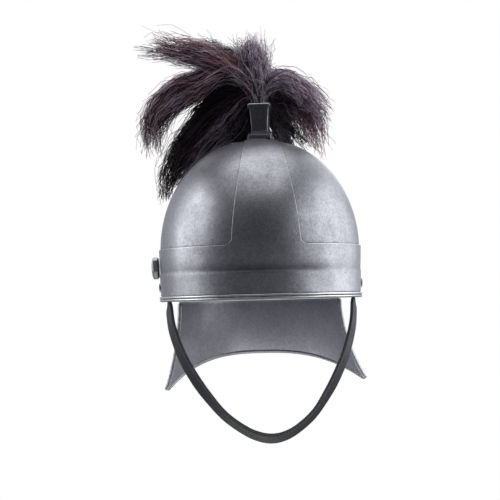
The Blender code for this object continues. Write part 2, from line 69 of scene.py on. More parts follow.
# %% [markdown]
# ## Sizes
#
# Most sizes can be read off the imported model, so they stay right when it changes. The skull's bare
# sheet gives the oval of the rim and the height of the crown. A few sizes of the solid model can't
# be measured from a box, such as where the straight wall ends, and are named here again.

# %% Read the main sizes from the model
_, bowl_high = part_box("bowl")
frame_low, frame_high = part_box("frame")
rim_low, rim_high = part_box("rim_binding")
holder_low, holder_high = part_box("crest_holder")

HALF_WIDTH, HALF_LENGTH = bowl_high.x, bowl_high.y
SHEET = 0.0020
WALL_HEIGHT = 0.053
CROWN_FLAT = 0.0042
CROWN_FLAT_POWER = 18
WALL_DRAW = 0.0018
DOME_RISE = bowl_high.z - WALL_HEIGHT + CROWN_FLAT
GAP = 0.0003
FRAME_SHEET = 0.0012
FRAME_OUT = GAP + FRAME_SHEET
BAND_TOP = 0.0545
BAND_FOOT = frame_low.z
BAND_STEP_HEIGHT = 0.031
BAND_STEP = 0.0005
CROWN = WALL_HEIGHT + DOME_RISE + FRAME_OUT - CROWN_FLAT
CREST_SIDE = (holder_low.x + holder_high.x) / 2
LIP = holder_high.z
print("skull half width, half length, rise:", round(HALF_WIDTH, 4), round(HALF_LENGTH, 4), round(DOME_RISE, 4))
print("crown and lip heights:", round(CROWN, 4), round(LIP, 4), "crest to the side:", round(CREST_SIDE, 4))

# %% [markdown]
# ## Small tools for building meshes
#
# Sheets of metal and leather are grids of points, worked out row by row from a formula. One
# function turns such rows into a mesh. Another marks how near each point lies to an edge, as a
# number stored on the mesh: the finish reads it later, to wear the metal bright along its edges.

# %% Mesh helpers
def finish_object(name, data, look, nodes=()):
    """Puts a mesh in the scene, on the one rigid body, standing for the CAD nodes named."""
    obj = bpy.data.objects.new(name, data)
    bpy.context.scene.collection.objects.link(obj)
    data.materials.append(look)
    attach(obj, "root")
    if nodes:
        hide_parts(*nodes)
    print(name, "has", len(data.polygons), "faces before modifiers")
    return obj


def mesh_from_rows(name, rows, loop):
    """Rows of equally many points, each joined to the next; loop closes every row on itself."""
    rows = np.asarray(rows, dtype=float)
    count, width = rows.shape[:2]
    data = bpy.data.meshes.new(name)
    down, along = np.meshgrid(
        np.arange(count - 1), np.arange(width if loop else width - 1), indexing="ij"
    )
    here, right = down * width + along, down * width + (along + 1) % width
    faces = np.stack([here, right, right + width, here + width], axis=-1).reshape(-1, 4)
    data.from_pydata(rows.reshape(-1, 3).tolist(), [], faces.tolist())
    mesh = bmesh.new()
    mesh.from_mesh(data)
    bmesh.ops.remove_doubles(mesh, verts=mesh.verts, dist=0.00001)
    bmesh.ops.recalc_face_normals(mesh, faces=mesh.faces)
    mesh.to_mesh(data)
    mesh.free()
    data.shade_smooth()
    return data


def mark_worn(data, width, sharp=radians(40)):
    """Stores 1 on open or sharp edges and 0 farther than width from them, as the attribute worn."""
    mesh = bmesh.new()
    mesh.from_mesh(data)
    edge_points = set()
    for edge in mesh.edges:
        if edge.is_boundary or (len(edge.link_faces) == 2 and edge.calc_face_angle(0.0) > sharp):
            edge_points.update(vert.index for vert in edge.verts)
    tree = kdtree.KDTree(max(1, len(edge_points)))
    for index in edge_points:
        tree.insert(data.vertices[index].co, index)
    tree.balance()
    worn = data.attributes.new("worn", "FLOAT", "POINT")
    for vert in data.vertices:
        distance = tree.find(vert.co)[2] if edge_points else width
        worn.data[vert.index].value = max(0.0, 1.0 - distance / width)
    mesh.free()
    return len(edge_points)


def thicken(obj, thickness, offset, bevel, segments=3):
    """Solidify, then round the edges that are left sharp."""
    sheet = obj.modifiers.new("sheet", "SOLIDIFY")
    sheet.thickness = thickness
    sheet.offset = offset
    sheet.use_even_offset = True
    edge = obj.modifiers.new("rounded", "BEVEL")
    edge.width = bevel
    edge.segments = segments
    edge.limit_method = "ANGLE"
    edge.angle_limit = radians(50)
    edge.harden_normals = True


def oval(angle, grow, height=0.0):
    """Point on the rim's oval, grow outside the bare skull; angle 0 is the back, 90 degrees is +X."""
    return Vector(((HALF_WIDTH + grow) * sin(angle), (HALF_LENGTH + grow) * cos(angle), height))


def oval_outward(angle):
    return Vector((sin(angle) / HALF_WIDTH, cos(angle) / HALF_LENGTH, 0.0)).normalized()


def wall_draw(height):
    """How far the wall is drawn in at a height: nothing where the dome starts, most at the rim."""
    return WALL_DRAW * min(1.0, max(0.0, 1 - height / WALL_HEIGHT))


def smooth_step(value, low, high):
    t = min(1.0, max(0.0, (value - low) / (high - low)))
    return t * t * (3 - 2 * t)


# %% [markdown]
# ## Finishes shared by the metal pieces
#
# The metal is matt and grainy, like a casting that was brushed over and then handled for years.
# Three effects are used again and again, so each is a node group of its own: a fine grain that
# also breaks the surface into light and dark patches, wear that shows bright metal along edges,
# and painted shade that darkens the corners and creases, where shade falls. The groups give out
# plain values and masks. Each material mixes them in its own colours.

# %% Node group helper
def new_group(name, inputs, outputs):
    group = bpy.data.node_groups.new(name, "ShaderNodeTree")
    for socket, default in inputs:
        made = group.interface.new_socket(socket, in_out="INPUT", socket_type="NodeSocketFloat")
        made.default_value = default
    for socket in outputs:
        group.interface.new_socket(socket, in_out="OUTPUT", socket_type="NodeSocketFloat")
    nodes = group.nodes
    return group, nodes.new("NodeGroupInput"), nodes.new("NodeGroupOutput")


def add_node(tree, kind, settings=None, **sockets):
    """A node with its settings, and its input sockets set to a number or linked to another socket."""
    node = tree.nodes.new(kind)
    for key, value in (settings or {}).items():
        setattr(node, key, value)
    for key, value in sockets.items():
        socket = node.inputs[int(key[1:])] if key[0] == "i" and key[1:].isdigit() else node.inputs[key]
        if isinstance(value, bpy.types.NodeSocket):
            tree.links.new(value, socket)
        else:
            socket.default_value = value
    return node


def math_node(tree, operation, first, second=0.0, clamp=False):
    node = add_node(tree, "ShaderNodeMath", {"operation": operation, "use_clamp": clamp}, i0=first, i1=second)
    return node.outputs[0]


def mapped(tree, value, from_low, from_high, to_low=0.0, to_high=1.0):
    node = add_node(tree, "ShaderNodeMapRange", {"interpolation_type": "SMOOTHSTEP"}, Value=value)
    for key, number in zip(("From Min", "From Max", "To Min", "To Max"), (from_low, from_high, to_low, to_high)):
        node.inputs[key].default_value = number
    return node.outputs["Result"]


def noise_value(tree, place, scale, detail=3.0, roughness=0.55):
    node = add_node(tree, "ShaderNodeTexNoise", None, Vector=place, Scale=scale, Detail=detail, Roughness=roughness)
    return node.outputs["Fac"]


# %% The cast grain group
def make_grain_group():
    """Grain: a fine sandy height. Patches: slow light and dark clouds. Specks: few small dark spots."""
    group, ins, outs = new_group(
        "cast_grain", [("Grain Scale", 900.0), ("Patch Scale", 28.0)], ["Grain", "Patches", "Specks"]
    )
    place = add_node(group, "ShaderNodeTexCoord").outputs["Object"]
    fine = noise_value(group, place, ins.outputs["Grain Scale"], 2.0, 0.6)
    coarse_scale = math_node(group, "MULTIPLY", ins.outputs["Grain Scale"], 0.33)
    coarse = noise_value(group, place, coarse_scale, 3.0, 0.6)
    grain = math_node(group, "ADD", math_node(group, "MULTIPLY", fine, 0.6), math_node(group, "MULTIPLY", coarse, 0.4))
    group.links.new(grain, outs.inputs["Grain"])
    patches = noise_value(group, place, ins.outputs["Patch Scale"], 5.0, 0.62)
    group.links.new(mapped(group, patches, 0.3, 0.7), outs.inputs["Patches"])
    spots = add_node(group, "ShaderNodeTexVoronoi", None, Vector=place, Scale=170.0)
    chosen = noise_value(group, place, 60.0, 1.0)
    small = mapped(group, spots.outputs["Distance"], 0.16, 0.08)
    rare = mapped(group, chosen, 0.62, 0.70)
    group.links.new(math_node(group, "MULTIPLY", small, rare), outs.inputs["Specks"])
    return group


cast_grain = make_grain_group()
print("cast_grain gives:", [s.name for s in cast_grain.interface.items_tree if s.in_out == "OUTPUT"])


# %% The edge wear group
def make_wear_group():
    """Mask: bright wear where the mesh is marked worn, broken up so that it isn't an even line."""
    group, ins, outs = new_group("edge_wear", [("Reach", 0.5), ("Break-up Scale", 260.0)], ["Mask"])
    worn = add_node(group, "ShaderNodeAttribute", {"attribute_name": "worn"}).outputs["Fac"]
    place = add_node(group, "ShaderNodeTexCoord").outputs["Object"]
    broken = noise_value(group, place, ins.outputs["Break-up Scale"], 4.0, 0.65)
    shifted = math_node(group, "ADD", worn, math_node(group, "MULTIPLY", math_node(group, "SUBTRACT", broken, 0.5), 0.7))
    start = math_node(group, "SUBTRACT", 1.0, ins.outputs["Reach"])
    above = math_node(group, "SUBTRACT", shifted, start)
    group.links.new(math_node(group, "MULTIPLY", above, 2.6, clamp=True), outs.inputs["Mask"])
    return group


edge_wear = make_wear_group()


# %% The painted shade group
def make_painted_shade_group():
    """Mask: painted shade where other surfaces stand close, and painted shade along the band's crease, where the mesh
    is marked.
    """
    group, ins, outs = new_group("painted_shade", [("Distance", 0.003), ("Amount", 1.0)], ["Mask"])
    # Ambient occlusion gives painted shade: darker where other surfaces stand close.
    open_air = add_node(group, "ShaderNodeAmbientOcclusion", {"samples": 6}, Distance=ins.outputs["Distance"])
    closed = math_node(group, "SUBTRACT", 1.0, open_air.outputs["AO"])
    place = add_node(group, "ShaderNodeTexCoord").outputs["Object"]
    uneven = mapped(group, noise_value(group, place, 120.0, 3.0), 0.3, 0.65, 0.4, 1.0)
    marked = add_node(group, "ShaderNodeAttribute", {"attribute_name": "crease_shade"}).outputs["Fac"]
    corners = math_node(group, "MULTIPLY", closed, uneven)
    either = math_node(group, "MAXIMUM", corners, math_node(group, "MULTIPLY", marked, 0.50))
    strength = math_node(group, "MULTIPLY", either, ins.outputs["Amount"])
    group.links.new(math_node(group, "MULTIPLY", strength, 1.6, clamp=True), outs.inputs["Mask"])
    return group


painted_shade = make_painted_shade_group()


# %% [markdown]
# ## The metals
#
# The skull, the frame and the bead are one grey metal. The guard is a lighter, less metallic copy of
# it, painted light for the light on its flare. The boss is a browner grey, and the socket and rivets
# are nearly black. One function makes them all. The colour runs from dark to light with the patches,
# wear lays a bright tone over edges, and painted shade darkens the corners and the band's crease. On
# the socket the bright tone is also a painted highlight. The same masks drive the roughness, since
# worn metal is smoother and the painted shade and the specks are made duller.

# %% The metal material
def place_group(tree, group, **sockets):
    node = tree.nodes.new("ShaderNodeGroup")
    node.node_tree = group
    for key, value in sockets.items():
        node.inputs[key.replace("_", " ")].default_value = value
    return node


def mix_colour(tree, factor, first, second):
    node = add_node(tree, "ShaderNodeMix", {"data_type": "RGBA"}, i0=factor)
    for socket, value in ((node.inputs[6], first), (node.inputs[7], second)):
        if isinstance(value, bpy.types.NodeSocket):
            tree.links.new(value, socket)
        else:
            socket.default_value = (*value, 1.0)
    return node.outputs[2]


def make_metal(name, dark, light, bright, rough, metallic, grain_scale, grain_depth, wear_reach, painted_shade_amount):
    look = bpy.data.materials.new(name)
    look.use_nodes = True
    tree = look.node_tree
    shader = tree.nodes["Principled BSDF"]
    shader.inputs["Metallic"].default_value = metallic
    grain = place_group(tree, cast_grain)
    grain.inputs["Grain Scale"].default_value = grain_scale
    wear = place_group(tree, edge_wear)
    wear.inputs["Reach"].default_value = wear_reach
    painted_shade_node = place_group(tree, painted_shade)
    painted_shade_node.inputs["Amount"].default_value = painted_shade_amount

    sandy = mapped(tree, grain.outputs["Grain"], 0.40, 0.60)
    tone = math_node(tree, "ADD", math_node(tree, "MULTIPLY", grain.outputs["Patches"], 0.40),
                     math_node(tree, "MULTIPLY", sandy, 0.60))
    base = mix_colour(tree, tone, dark, light)
    base = mix_colour(tree, wear.outputs["Mask"], base, bright)
    # Painted shade and real dark specks: the colour darkens towards a quarter of the dark tone where either is high.
    shade_and_specks = math_node(tree, "MAXIMUM", painted_shade_node.outputs["Mask"], math_node(tree, "MULTIPLY", grain.outputs["Specks"], 0.8))
    base = mix_colour(tree, shade_and_specks, base, tuple(0.25 * part for part in dark))
    tree.links.new(base, shader.inputs["Base Color"])

    roughness = mapped(tree, grain.outputs["Patches"], 0.0, 1.0, rough + 0.05, rough - 0.05)
    roughness = math_node(tree, "SUBTRACT", roughness, math_node(tree, "MULTIPLY", wear.outputs["Mask"], 0.06))
    roughness = math_node(tree, "ADD", roughness, math_node(tree, "MULTIPLY", shade_and_specks, 0.25))
    tree.links.new(roughness, shader.inputs["Roughness"])

    bump = add_node(tree, "ShaderNodeBump", None, Strength=0.8, Distance=grain_depth, Height=grain.outputs["Grain"])
    tree.links.new(bump.outputs["Normal"], shader.inputs["Normal"])
    return look


steel = make_metal("aged_steel", (0.280, 0.285, 0.320), (0.510, 0.515, 0.565), (0.77, 0.78, 0.81),
                   0.40, 0.92, 900.0, 0.00035, 0.42, 1.0)
# The guard's metal is a lighter, less metallic copy of the grey metal: painted light on its flare.
painted_light_guard_steel = make_metal("painted_light_guard_steel", (0.43, 0.435, 0.48), (0.66, 0.665, 0.72), (0.86, 0.87, 0.90),
                         0.42, 0.70, 900.0, 0.0003, 0.5, 0.8)
boss_steel = make_metal("boss_steel", (0.20, 0.205, 0.21), (0.34, 0.345, 0.35), (0.50, 0.51, 0.52),
                        0.45, 0.85, 900.0, 0.0003, 0.35, 0.8)
# The gunmetal's bright tone is wear on the rivets' edges and a painted highlight on the socket.
gunmetal = make_metal("gunmetal", (0.070, 0.071, 0.082), (0.130, 0.131, 0.148), (0.90, 0.91, 0.94),
                      0.42, 0.55, 1100.0, 0.0002, 0.42, 0.6)
print("metals:", [m.name for m in (steel, painted_light_guard_steel, boss_steel, gunmetal)])

# %% [markdown]
# ## The skull
#
# The skull is a half ellipsoid on a short straight wall. A sphere primitive would do, but its rings
# bunch up at the top, so the rows are worked out here. Real sheet metal is never quite even: each
# point is moved in or out by a slow noise of a fraction of a millimetre, which makes the soft light
# on it wander a little. The frame uses the same noise, so the two sheets stay together.

# %% Build the skull
UNEVEN_DEPTH = 0.00028
UNEVEN_PER_METRE = 17.0
SKULL_SIDES = 128


def uneven(point):
    """How far the sheet bulges at a point, in metres."""
    return UNEVEN_DEPTH * noise.noise(point * UNEVEN_PER_METRE)


def dome_height(share, grow):
    """Height over the rim at a share of the dome's rise; the crown is a little flattened."""
    return WALL_HEIGHT + (DOME_RISE + grow) * share - CROWN_FLAT * max(0.0, share) ** CROWN_FLAT_POWER


def wall_point(angle, height, grow):
    """Point grow outside the bare skull's wall, or just above it where the dome starts."""
    share = max(0.0, height - WALL_HEIGHT) / (DOME_RISE + grow)
    place = oval(angle, grow - wall_draw(height))
    place = Vector((place.x * sqrt(1 - share**2), place.y * sqrt(1 - share**2), height))
    return place + oval_outward(angle) * uneven(place)


def dome_point(angle, share, grow):
    """Point grow outside the bare dome at an angle round it and a share of its rise."""
    place = oval(angle, grow)
    ring = sqrt(1 - share**2)
    place = Vector((place.x * ring, place.y * ring, dome_height(share, grow)))
    return place + oval_outward(angle) * uneven(place) * ring


def make_skull():
    angles = [2 * pi * side / SKULL_SIDES for side in range(SKULL_SIDES)]
    rows = [[wall_point(angle, WALL_HEIGHT * row / 8, 0.0) for angle in angles] for row in range(8)]
    for row in range(49):
        share = min(1.0, sin(pi / 2 * row / 48))
        rows.append([dome_point(angle, share, 0.0) for angle in angles])
    data = mesh_from_rows("skull", rows, True)
    mark_worn(data, 0.0015)
    obj = finish_object("skull", data, steel, ["bowl"])
    thicken(obj, SHEET, -1.0, 0.0004, 2)
    return obj


skull = make_skull()

# %% [markdown]
# ## The raised frame
#
# On the real helmet a frame of straps lies over the skull: a band all round the brow, and one wide
# strap from brow to nape that gets narrower towards the crown. Cutting it out of the dome with a
# Boolean leaves long thin faces that shade badly. So the frame is built as two grids that share
# their points where they meet: the strap runs over the top in rows from side to side, and the band
# takes the strap's columns and goes on round the head. Solidify gives it its thickness, and a small
# bevel gives the edge that catches the light.

# %% The outline of the strap
STRAP_HALF_AT_BROW = 0.0347
STRAP_NARROWING = 0.52
STRAP_NARROWING_POWER = 1.5
STRAP_CORNER = 0.007


def strap_half(height):
    """Half width of the strap at a height, with the round corner where it leaves the band."""
    share = max(0.0, (height - BAND_TOP) / (CROWN - BAND_TOP))
    half = STRAP_HALF_AT_BROW * (1 - STRAP_NARROWING * share**STRAP_NARROWING_POWER)
    up = (height - BAND_TOP) / STRAP_CORNER
    if up < 1:
        half += STRAP_CORNER * (1 - sqrt(max(0.0, 1 - (1 - up) ** 2)))
    return half


def even_with_close_edges(count, close):
    """Numbers from -1 to 1, with one more very near each end."""
    inner = [-1 + 2 * i / count for i in range(1, count)]
    return [-1.0, -1 + close] + inner + [1 - close, 1.0]


# %% The strap over the dome
STRAP_ROWS = 130
ACROSS = even_with_close_edges(22, 0.035)


def strap_point(share, across):
    """Point of the strap: share 0 is the front brow, 0.5 the crown and 1 the nape; across is -1 to 1."""
    width, length, rise = HALF_WIDTH + FRAME_OUT, HALF_LENGTH + FRAME_OUT, DOME_RISE + FRAME_OUT
    x = 0.0
    for _ in range(6):
        squeeze = sqrt(1 - (x / width) ** 2)
        start = asin((BAND_TOP - WALL_HEIGHT) / (rise * squeeze))
        turn = start + (pi - 2 * start) * share
        height = dome_height(squeeze * sin(turn), FRAME_OUT)
        x = CREST_SIDE + across * strap_half(max(BAND_TOP, height))
    place = Vector((x, -length * squeeze * cos(turn), height))
    return place + oval_outward(atan2(place.x, place.y)) * uneven(place) * abs(cos(turn))


def strap_shares():
    """Rows of the strap, closer together at both ends, where the corners are round."""
    close = [0.0025 * i for i in range(11)]
    middle = np.linspace(0.03, 0.97, STRAP_ROWS).tolist()
    return close + middle + [1 - share for share in reversed(close)]


strap_rows = [[strap_point(share, across) for across in ACROSS] for share in strap_shares()]
print("strap rows:", len(strap_rows), "half width at the crown:", round(strap_half(CROWN), 4))

# %% The band round the brow, and the two joined
SIDE_COLUMNS = 64
CREASE_HEIGHT = 0.0293
CREASE_WIDTH = 0.0027
CREASE_DEPTH = 0.0006


def angle_of(point):
    return atan2(point.x / (HALF_WIDTH + FRAME_OUT), point.y / (HALF_LENGTH + FRAME_OUT))


def band_angles():
    """Angles round the band: the strap's own columns front and back, and even steps at the sides."""
    front = [angle_of(point) for point in strap_rows[0]]
    back = [angle_of(point) for point in strap_rows[-1]]
    front = [angle + 2 * pi if angle < 0 else angle for angle in front]
    turn = list(reversed(front))
    left_gap = np.linspace(turn[-1], 2 * pi + back[0], SIDE_COLUMNS + 2)[1:-1].tolist()
    back_turn = [angle + 2 * pi for angle in back]
    right_gap = np.linspace(back_turn[-1], turn[0] + 2 * pi, SIDE_COLUMNS + 2)[1:-1].tolist()
    return turn + left_gap + back_turn + right_gap


def crease(angle, height):
    """1 in the middle of the soft crease at the front and back of the band, 0 away from it."""
    fade = 0.3 + 0.7 * (1 - smooth_step(abs(sin(angle)), 0.35, 0.75))
    away = (height - CREASE_HEIGHT) / CREASE_WIDTH
    return fade * 2.718 ** -(away**2 * (0.16 if away > 0 else 1.8))


def band_proud(angle, height):
    """The band's lower half stands a little prouder, with a crease pressed in above it."""
    step = BAND_STEP * (1 - smooth_step(height, BAND_STEP_HEIGHT - 0.0042, BAND_STEP_HEIGHT - 0.0004))
    return step - CREASE_DEPTH * crease(angle, height)


def band_rows():
    heights = [BAND_FOOT, BAND_FOOT + 0.001]
    heights += np.linspace(0.009, 0.0235, 6).tolist()
    heights += np.linspace(0.0245, 0.0360, 18).tolist()
    heights += np.linspace(0.037, 0.0525, 6).tolist()
    heights += [BAND_TOP - 0.0009, BAND_TOP]
    return [
        [wall_point(angle, height, FRAME_OUT) + oval_outward(angle) * band_proud(angle, height)
         for angle in band_angles()]
        for height in heights
    ]


def make_frame():
    band = mesh_from_rows("band", band_rows(), True)
    strap = mesh_from_rows("strap", strap_rows, False)
    mesh = bmesh.new()
    mesh.from_mesh(band)
    mesh.from_mesh(strap)
    bmesh.ops.remove_doubles(mesh, verts=mesh.verts, dist=0.00012)
    bmesh.ops.recalc_face_normals(mesh, faces=mesh.faces)
    loops = sum(1 for edge in mesh.edges if edge.is_boundary)
    data = bpy.data.meshes.new("strap_frame")
    mesh.to_mesh(data)
    mesh.free()
    data.shade_smooth()
    mark_worn(data, 0.0020)
    # The band's crease is marked for painted shade, so the metal darkens along it.
    crease_shade = data.attributes.new("crease_shade", "FLOAT", "POINT")
    for vert in data.vertices:
        crease_shade.data[vert.index].value = 0.8 * crease(angle_of(vert.co), vert.co.z)
    obj = finish_object("strap_frame", data, steel, ["frame"])
    thicken(obj, FRAME_SHEET, -1.0, 0.0005, 3)
    print("frame border edges:", loops)
    return obj


strap_frame = make_frame()

# %% [markdown]
# ## The bead round the rim
#
# Two half-round beads lie one above the other, with a dark groove between them. A curve with a
# round bevel would give a plain tube, so the cross-section is drawn once, point by point along two
# arcs, and carried round the oval. It was finished by hand, so its height and depth waver slightly.

# %% Build the double bead
BEAD_RADIUS = (rim_high.z - rim_low.z) / 4
BEAD_OUT = rim_high.x - HALF_WIDTH + wall_draw(3 * BEAD_RADIUS)
BEAD_SIDES = 260


def bead_section():
    """(out, up) points from the inner foot, round both beads, to the inner top."""
    points = [(GAP, 0.0)]
    for bead in range(2):
        for step in range(9):
            angle = radians(-84 + 168 * step / 8)
            out = BEAD_OUT - BEAD_RADIUS + BEAD_RADIUS * cos(angle)
            points.append((out, (2 * bead + 1) * BEAD_RADIUS + BEAD_RADIUS * sin(angle)))
    return points + [(GAP, 4 * BEAD_RADIUS), (GAP, 2 * BEAD_RADIUS)]


def worked(spot):
    """How far the bead's round is hammered back at a spot."""
    return 0.00015 + 0.00015 * noise.noise(spot * 2)


def make_bead():
    rows = []
    for side in range(BEAD_SIDES + 1):
        angle = 2 * pi * side / BEAD_SIDES
        spot = oval(angle, 0.0) * 40
        lift = 0.00022 * noise.noise(spot)
        rows.append([
            oval(angle, out - wall_draw(up) - (worked(spot) if out > GAP else 0.0), up + lift)
            for out, up in bead_section()
        ])
    data = mesh_from_rows("rim_bead", rows, True)
    worn = data.attributes.new("worn", "FLOAT", "POINT")
    for vert in data.vertices:
        out = hypot(vert.co.x / HALF_WIDTH, vert.co.y / HALF_LENGTH) - 1 + WALL_DRAW / HALF_WIDTH
        worn.data[vert.index].value = smooth_step(out * HALF_WIDTH, 0.4 * BEAD_OUT, 0.95 * BEAD_OUT)
    return finish_object("rim_bead", data, steel, ["rim_binding"])


rim_bead = make_bead()

# %% [markdown]
# ## The neck guard
#
# Behind the ears a flared apron hangs from the rim. It is a grid wrapped round the back of the
# oval: each point moves down by its share of the guard's depth and out by the square of it, which
# gives the trumpet curve of hammered sheet. Its free edge is rolled, so a round wire of metal
# follows the same path, made as a tube of rings carried along it.

# %% The surface of the guard
GUARD_SHEET = 0.0028
GUARD_ROLL = 0.0050
GUARD_REACH = radians(60)
GUARD_DROP = 0.097
GUARD_BACK_DROP = 0.060
GUARD_DROP_POWER = 2.6
GUARD_SIDE_FLARE = 0.0268
GUARD_BACK_FLARE = 0.0338
GUARD_CORNER = 0.007
GUARD_LEAN = 0.007
GUARD_UNEVEN = 0.004


def guard_drop(along, inset=0.0):
    """Depth of the lower edge; along is -1 at the wearer's right edge and 1 at the left."""
    depth = GUARD_DROP - GUARD_UNEVEN * along - GUARD_BACK_DROP
    drop = GUARD_BACK_DROP + depth * abs(along) ** GUARD_DROP_POWER - inset
    corner_distance = (1 - abs(along)) * GUARD_REACH * HALF_LENGTH
    if corner_distance < GUARD_CORNER:
        inside = GUARD_CORNER - corner_distance
        drop -= GUARD_CORNER - sqrt(GUARD_CORNER**2 - inside**2)
    return drop


def guard_point(along, drop):
    angle = along * GUARD_REACH
    curl = (drop / GUARD_DROP) ** 2
    flare = GUARD_BACK_FLARE + (GUARD_SIDE_FLARE - GUARD_BACK_FLARE) * along**2
    place = oval(angle, -SHEET / 2 - WALL_DRAW, -GAP - drop) + oval_outward(angle) * flare * curl
    place += Vector((GUARD_LEAN * curl, 0.0, 0.0))
    return place + oval_outward(angle) * 1.6 * uneven(place)


# %% Build the guard and its rolled edge
GUARD_INSET = 0.0022


def make_guard():
    reach = 1 - GUARD_INSET / (GUARD_REACH * HALF_LENGTH)
    alongs = np.linspace(-reach, reach, 121)
    rows = [
        [guard_point(along, share * guard_drop(along, GUARD_INSET)) for along in alongs]
        for share in np.linspace(0.0, 1.0, 41)
    ]
    data = mesh_from_rows("guard_sheet", rows, False)
    # The worn band along the guard's edges is six millimetres wide: partly wear, partly a painted highlight.
    mark_worn(data, 0.006)
    obj = finish_object("guard_sheet", data, painted_light_guard_steel, ["neck_guard"])
    thicken(obj, GUARD_SHEET, 0.0, 0.0006, 2)
    return obj


def guard_edge_path():
    """From the rim down the right front edge, along the lower edge and up the left front edge."""
    reach = 1 - GUARD_INSET / (GUARD_REACH * HALF_LENGTH)
    down = [guard_point(-reach, guard_drop(-reach, GUARD_INSET) * share) for share in np.linspace(0.02, 0.97, 30)]
    low = [guard_point(along, guard_drop(along, GUARD_INSET)) for along in np.linspace(-reach, reach, 150)]
    up = [guard_point(reach, guard_drop(reach, GUARD_INSET) * share) for share in np.linspace(0.97, 0.02, 30)]
    return down + low + up


def tube_mesh(name, path, radii, sides, squash=1.0):
    """A tube round a path, made as rows of points carried along it without twisting."""
    path = np.array(path, dtype=float)
    tangent = np.gradient(path, axis=0)
    tangent /= np.linalg.norm(tangent, axis=1)[:, None]
    side = np.cross(tangent[0], (0.0, 0.0, 1.0))
    if np.linalg.norm(side) < 0.1:
        side = np.cross(tangent[0], (0.0, 1.0, 0.0))
    rows = []
    for place, forward, radius in zip(path, tangent, radii):
        side = side - forward * (side @ forward)
        side /= np.linalg.norm(side)
        up = np.cross(forward, side)
        turn = np.linspace(0, 2 * pi, sides, endpoint=False)[:, None]
        rows.append(place + radius * (np.cos(turn) * side + squash * np.sin(turn) * up))
    caps = [np.repeat(path[:1], sides, axis=0)] + rows + [np.repeat(path[-1:], sides, axis=0)]
    return mesh_from_rows(name, caps, True)


def make_guard_roll():
    path = guard_edge_path()
    data = tube_mesh("guard_roll", path, [GUARD_ROLL / 2] * len(path), 14)
    # The whole roll is marked half worn: a painted highlight that makes it lighter.
    worn = data.attributes.new("worn", "FLOAT", "POINT")
    worn.data.foreach_set("value", [0.55] * len(data.vertices))
    return finish_object("guard_roll", data, painted_light_guard_steel, ["neck_guard"])


guard_sheet = make_guard()
guard_roll = make_guard_roll()

# %% [markdown]
# ## The crest holder
#
# The plume stands in a four-sided socket with a waist, a lip at the top and a spreading foot. It is
# lofted: a table gives the half width at each height, one section for each row, and every section
# is a superellipse, which is a rectangle with softly rounded corners. The worn mark lays a painted
# highlight on the lip and along the foot, and the four upright corners get wear with a painted highlight.

# %% The holder's sections
HOLDER_HEIGHT = 0.0377
HOLDER_HALF_WIDTH = 0.0136
HOLDER_DEPTH_RATIO = 1.4
HOLDER_TURN = radians(-6)
HOLDER_FOOT = LIP - HOLDER_HEIGHT
SOCKET_HALF = 0.0067
SOCKET_DEPTH = 0.024
SECTION_SIDES = 64
SECTION_POWER = 9.0

HOLDER_OUTSIDE = [
    {"height": 0.992, "half": 0.74}, {"height": 1.000, "half": 0.84}, {"height": 0.988, "half": 0.895},
    {"height": 0.965, "half": 0.918}, {"height": 0.935, "half": 0.918}, {"height": 0.908, "half": 0.895},
    {"height": 0.885, "half": 0.830}, {"height": 0.850, "half": 0.795}, {"height": 0.760, "half": 0.765},
    {"height": 0.650, "half": 0.737}, {"height": 0.540, "half": 0.712}, {"height": 0.440, "half": 0.688},
    {"height": 0.340, "half": 0.672}, {"height": 0.270, "half": 0.673}, {"height": 0.215, "half": 0.690},
    {"height": 0.185, "half": 0.730}, {"height": 0.165, "half": 0.810}, {"height": 0.145, "half": 0.880},
    {"height": 0.115, "half": 0.935}, {"height": 0.070, "half": 0.965}, {"height": 0.010, "half": 0.985},
    {"height": -0.040, "half": 1.000}, {"height": -0.100, "half": 0.995},
]


def holder_section(half, height):
    """One section round the holder's axis."""
    points = []
    for side in range(SECTION_SIDES):
        turn = 2 * pi * (side + 0.5) / SECTION_SIDES
        x = abs(cos(turn)) ** (2 / SECTION_POWER) * (1 if cos(turn) > 0 else -1) * half
        y = abs(sin(turn)) ** (2 / SECTION_POWER) * (1 if sin(turn) > 0 else -1) * half * HOLDER_DEPTH_RATIO
        points.append((CREST_SIDE + x * cos(HOLDER_TURN) - y * sin(HOLDER_TURN),
                       x * sin(HOLDER_TURN) + y * cos(HOLDER_TURN), height))
    return points


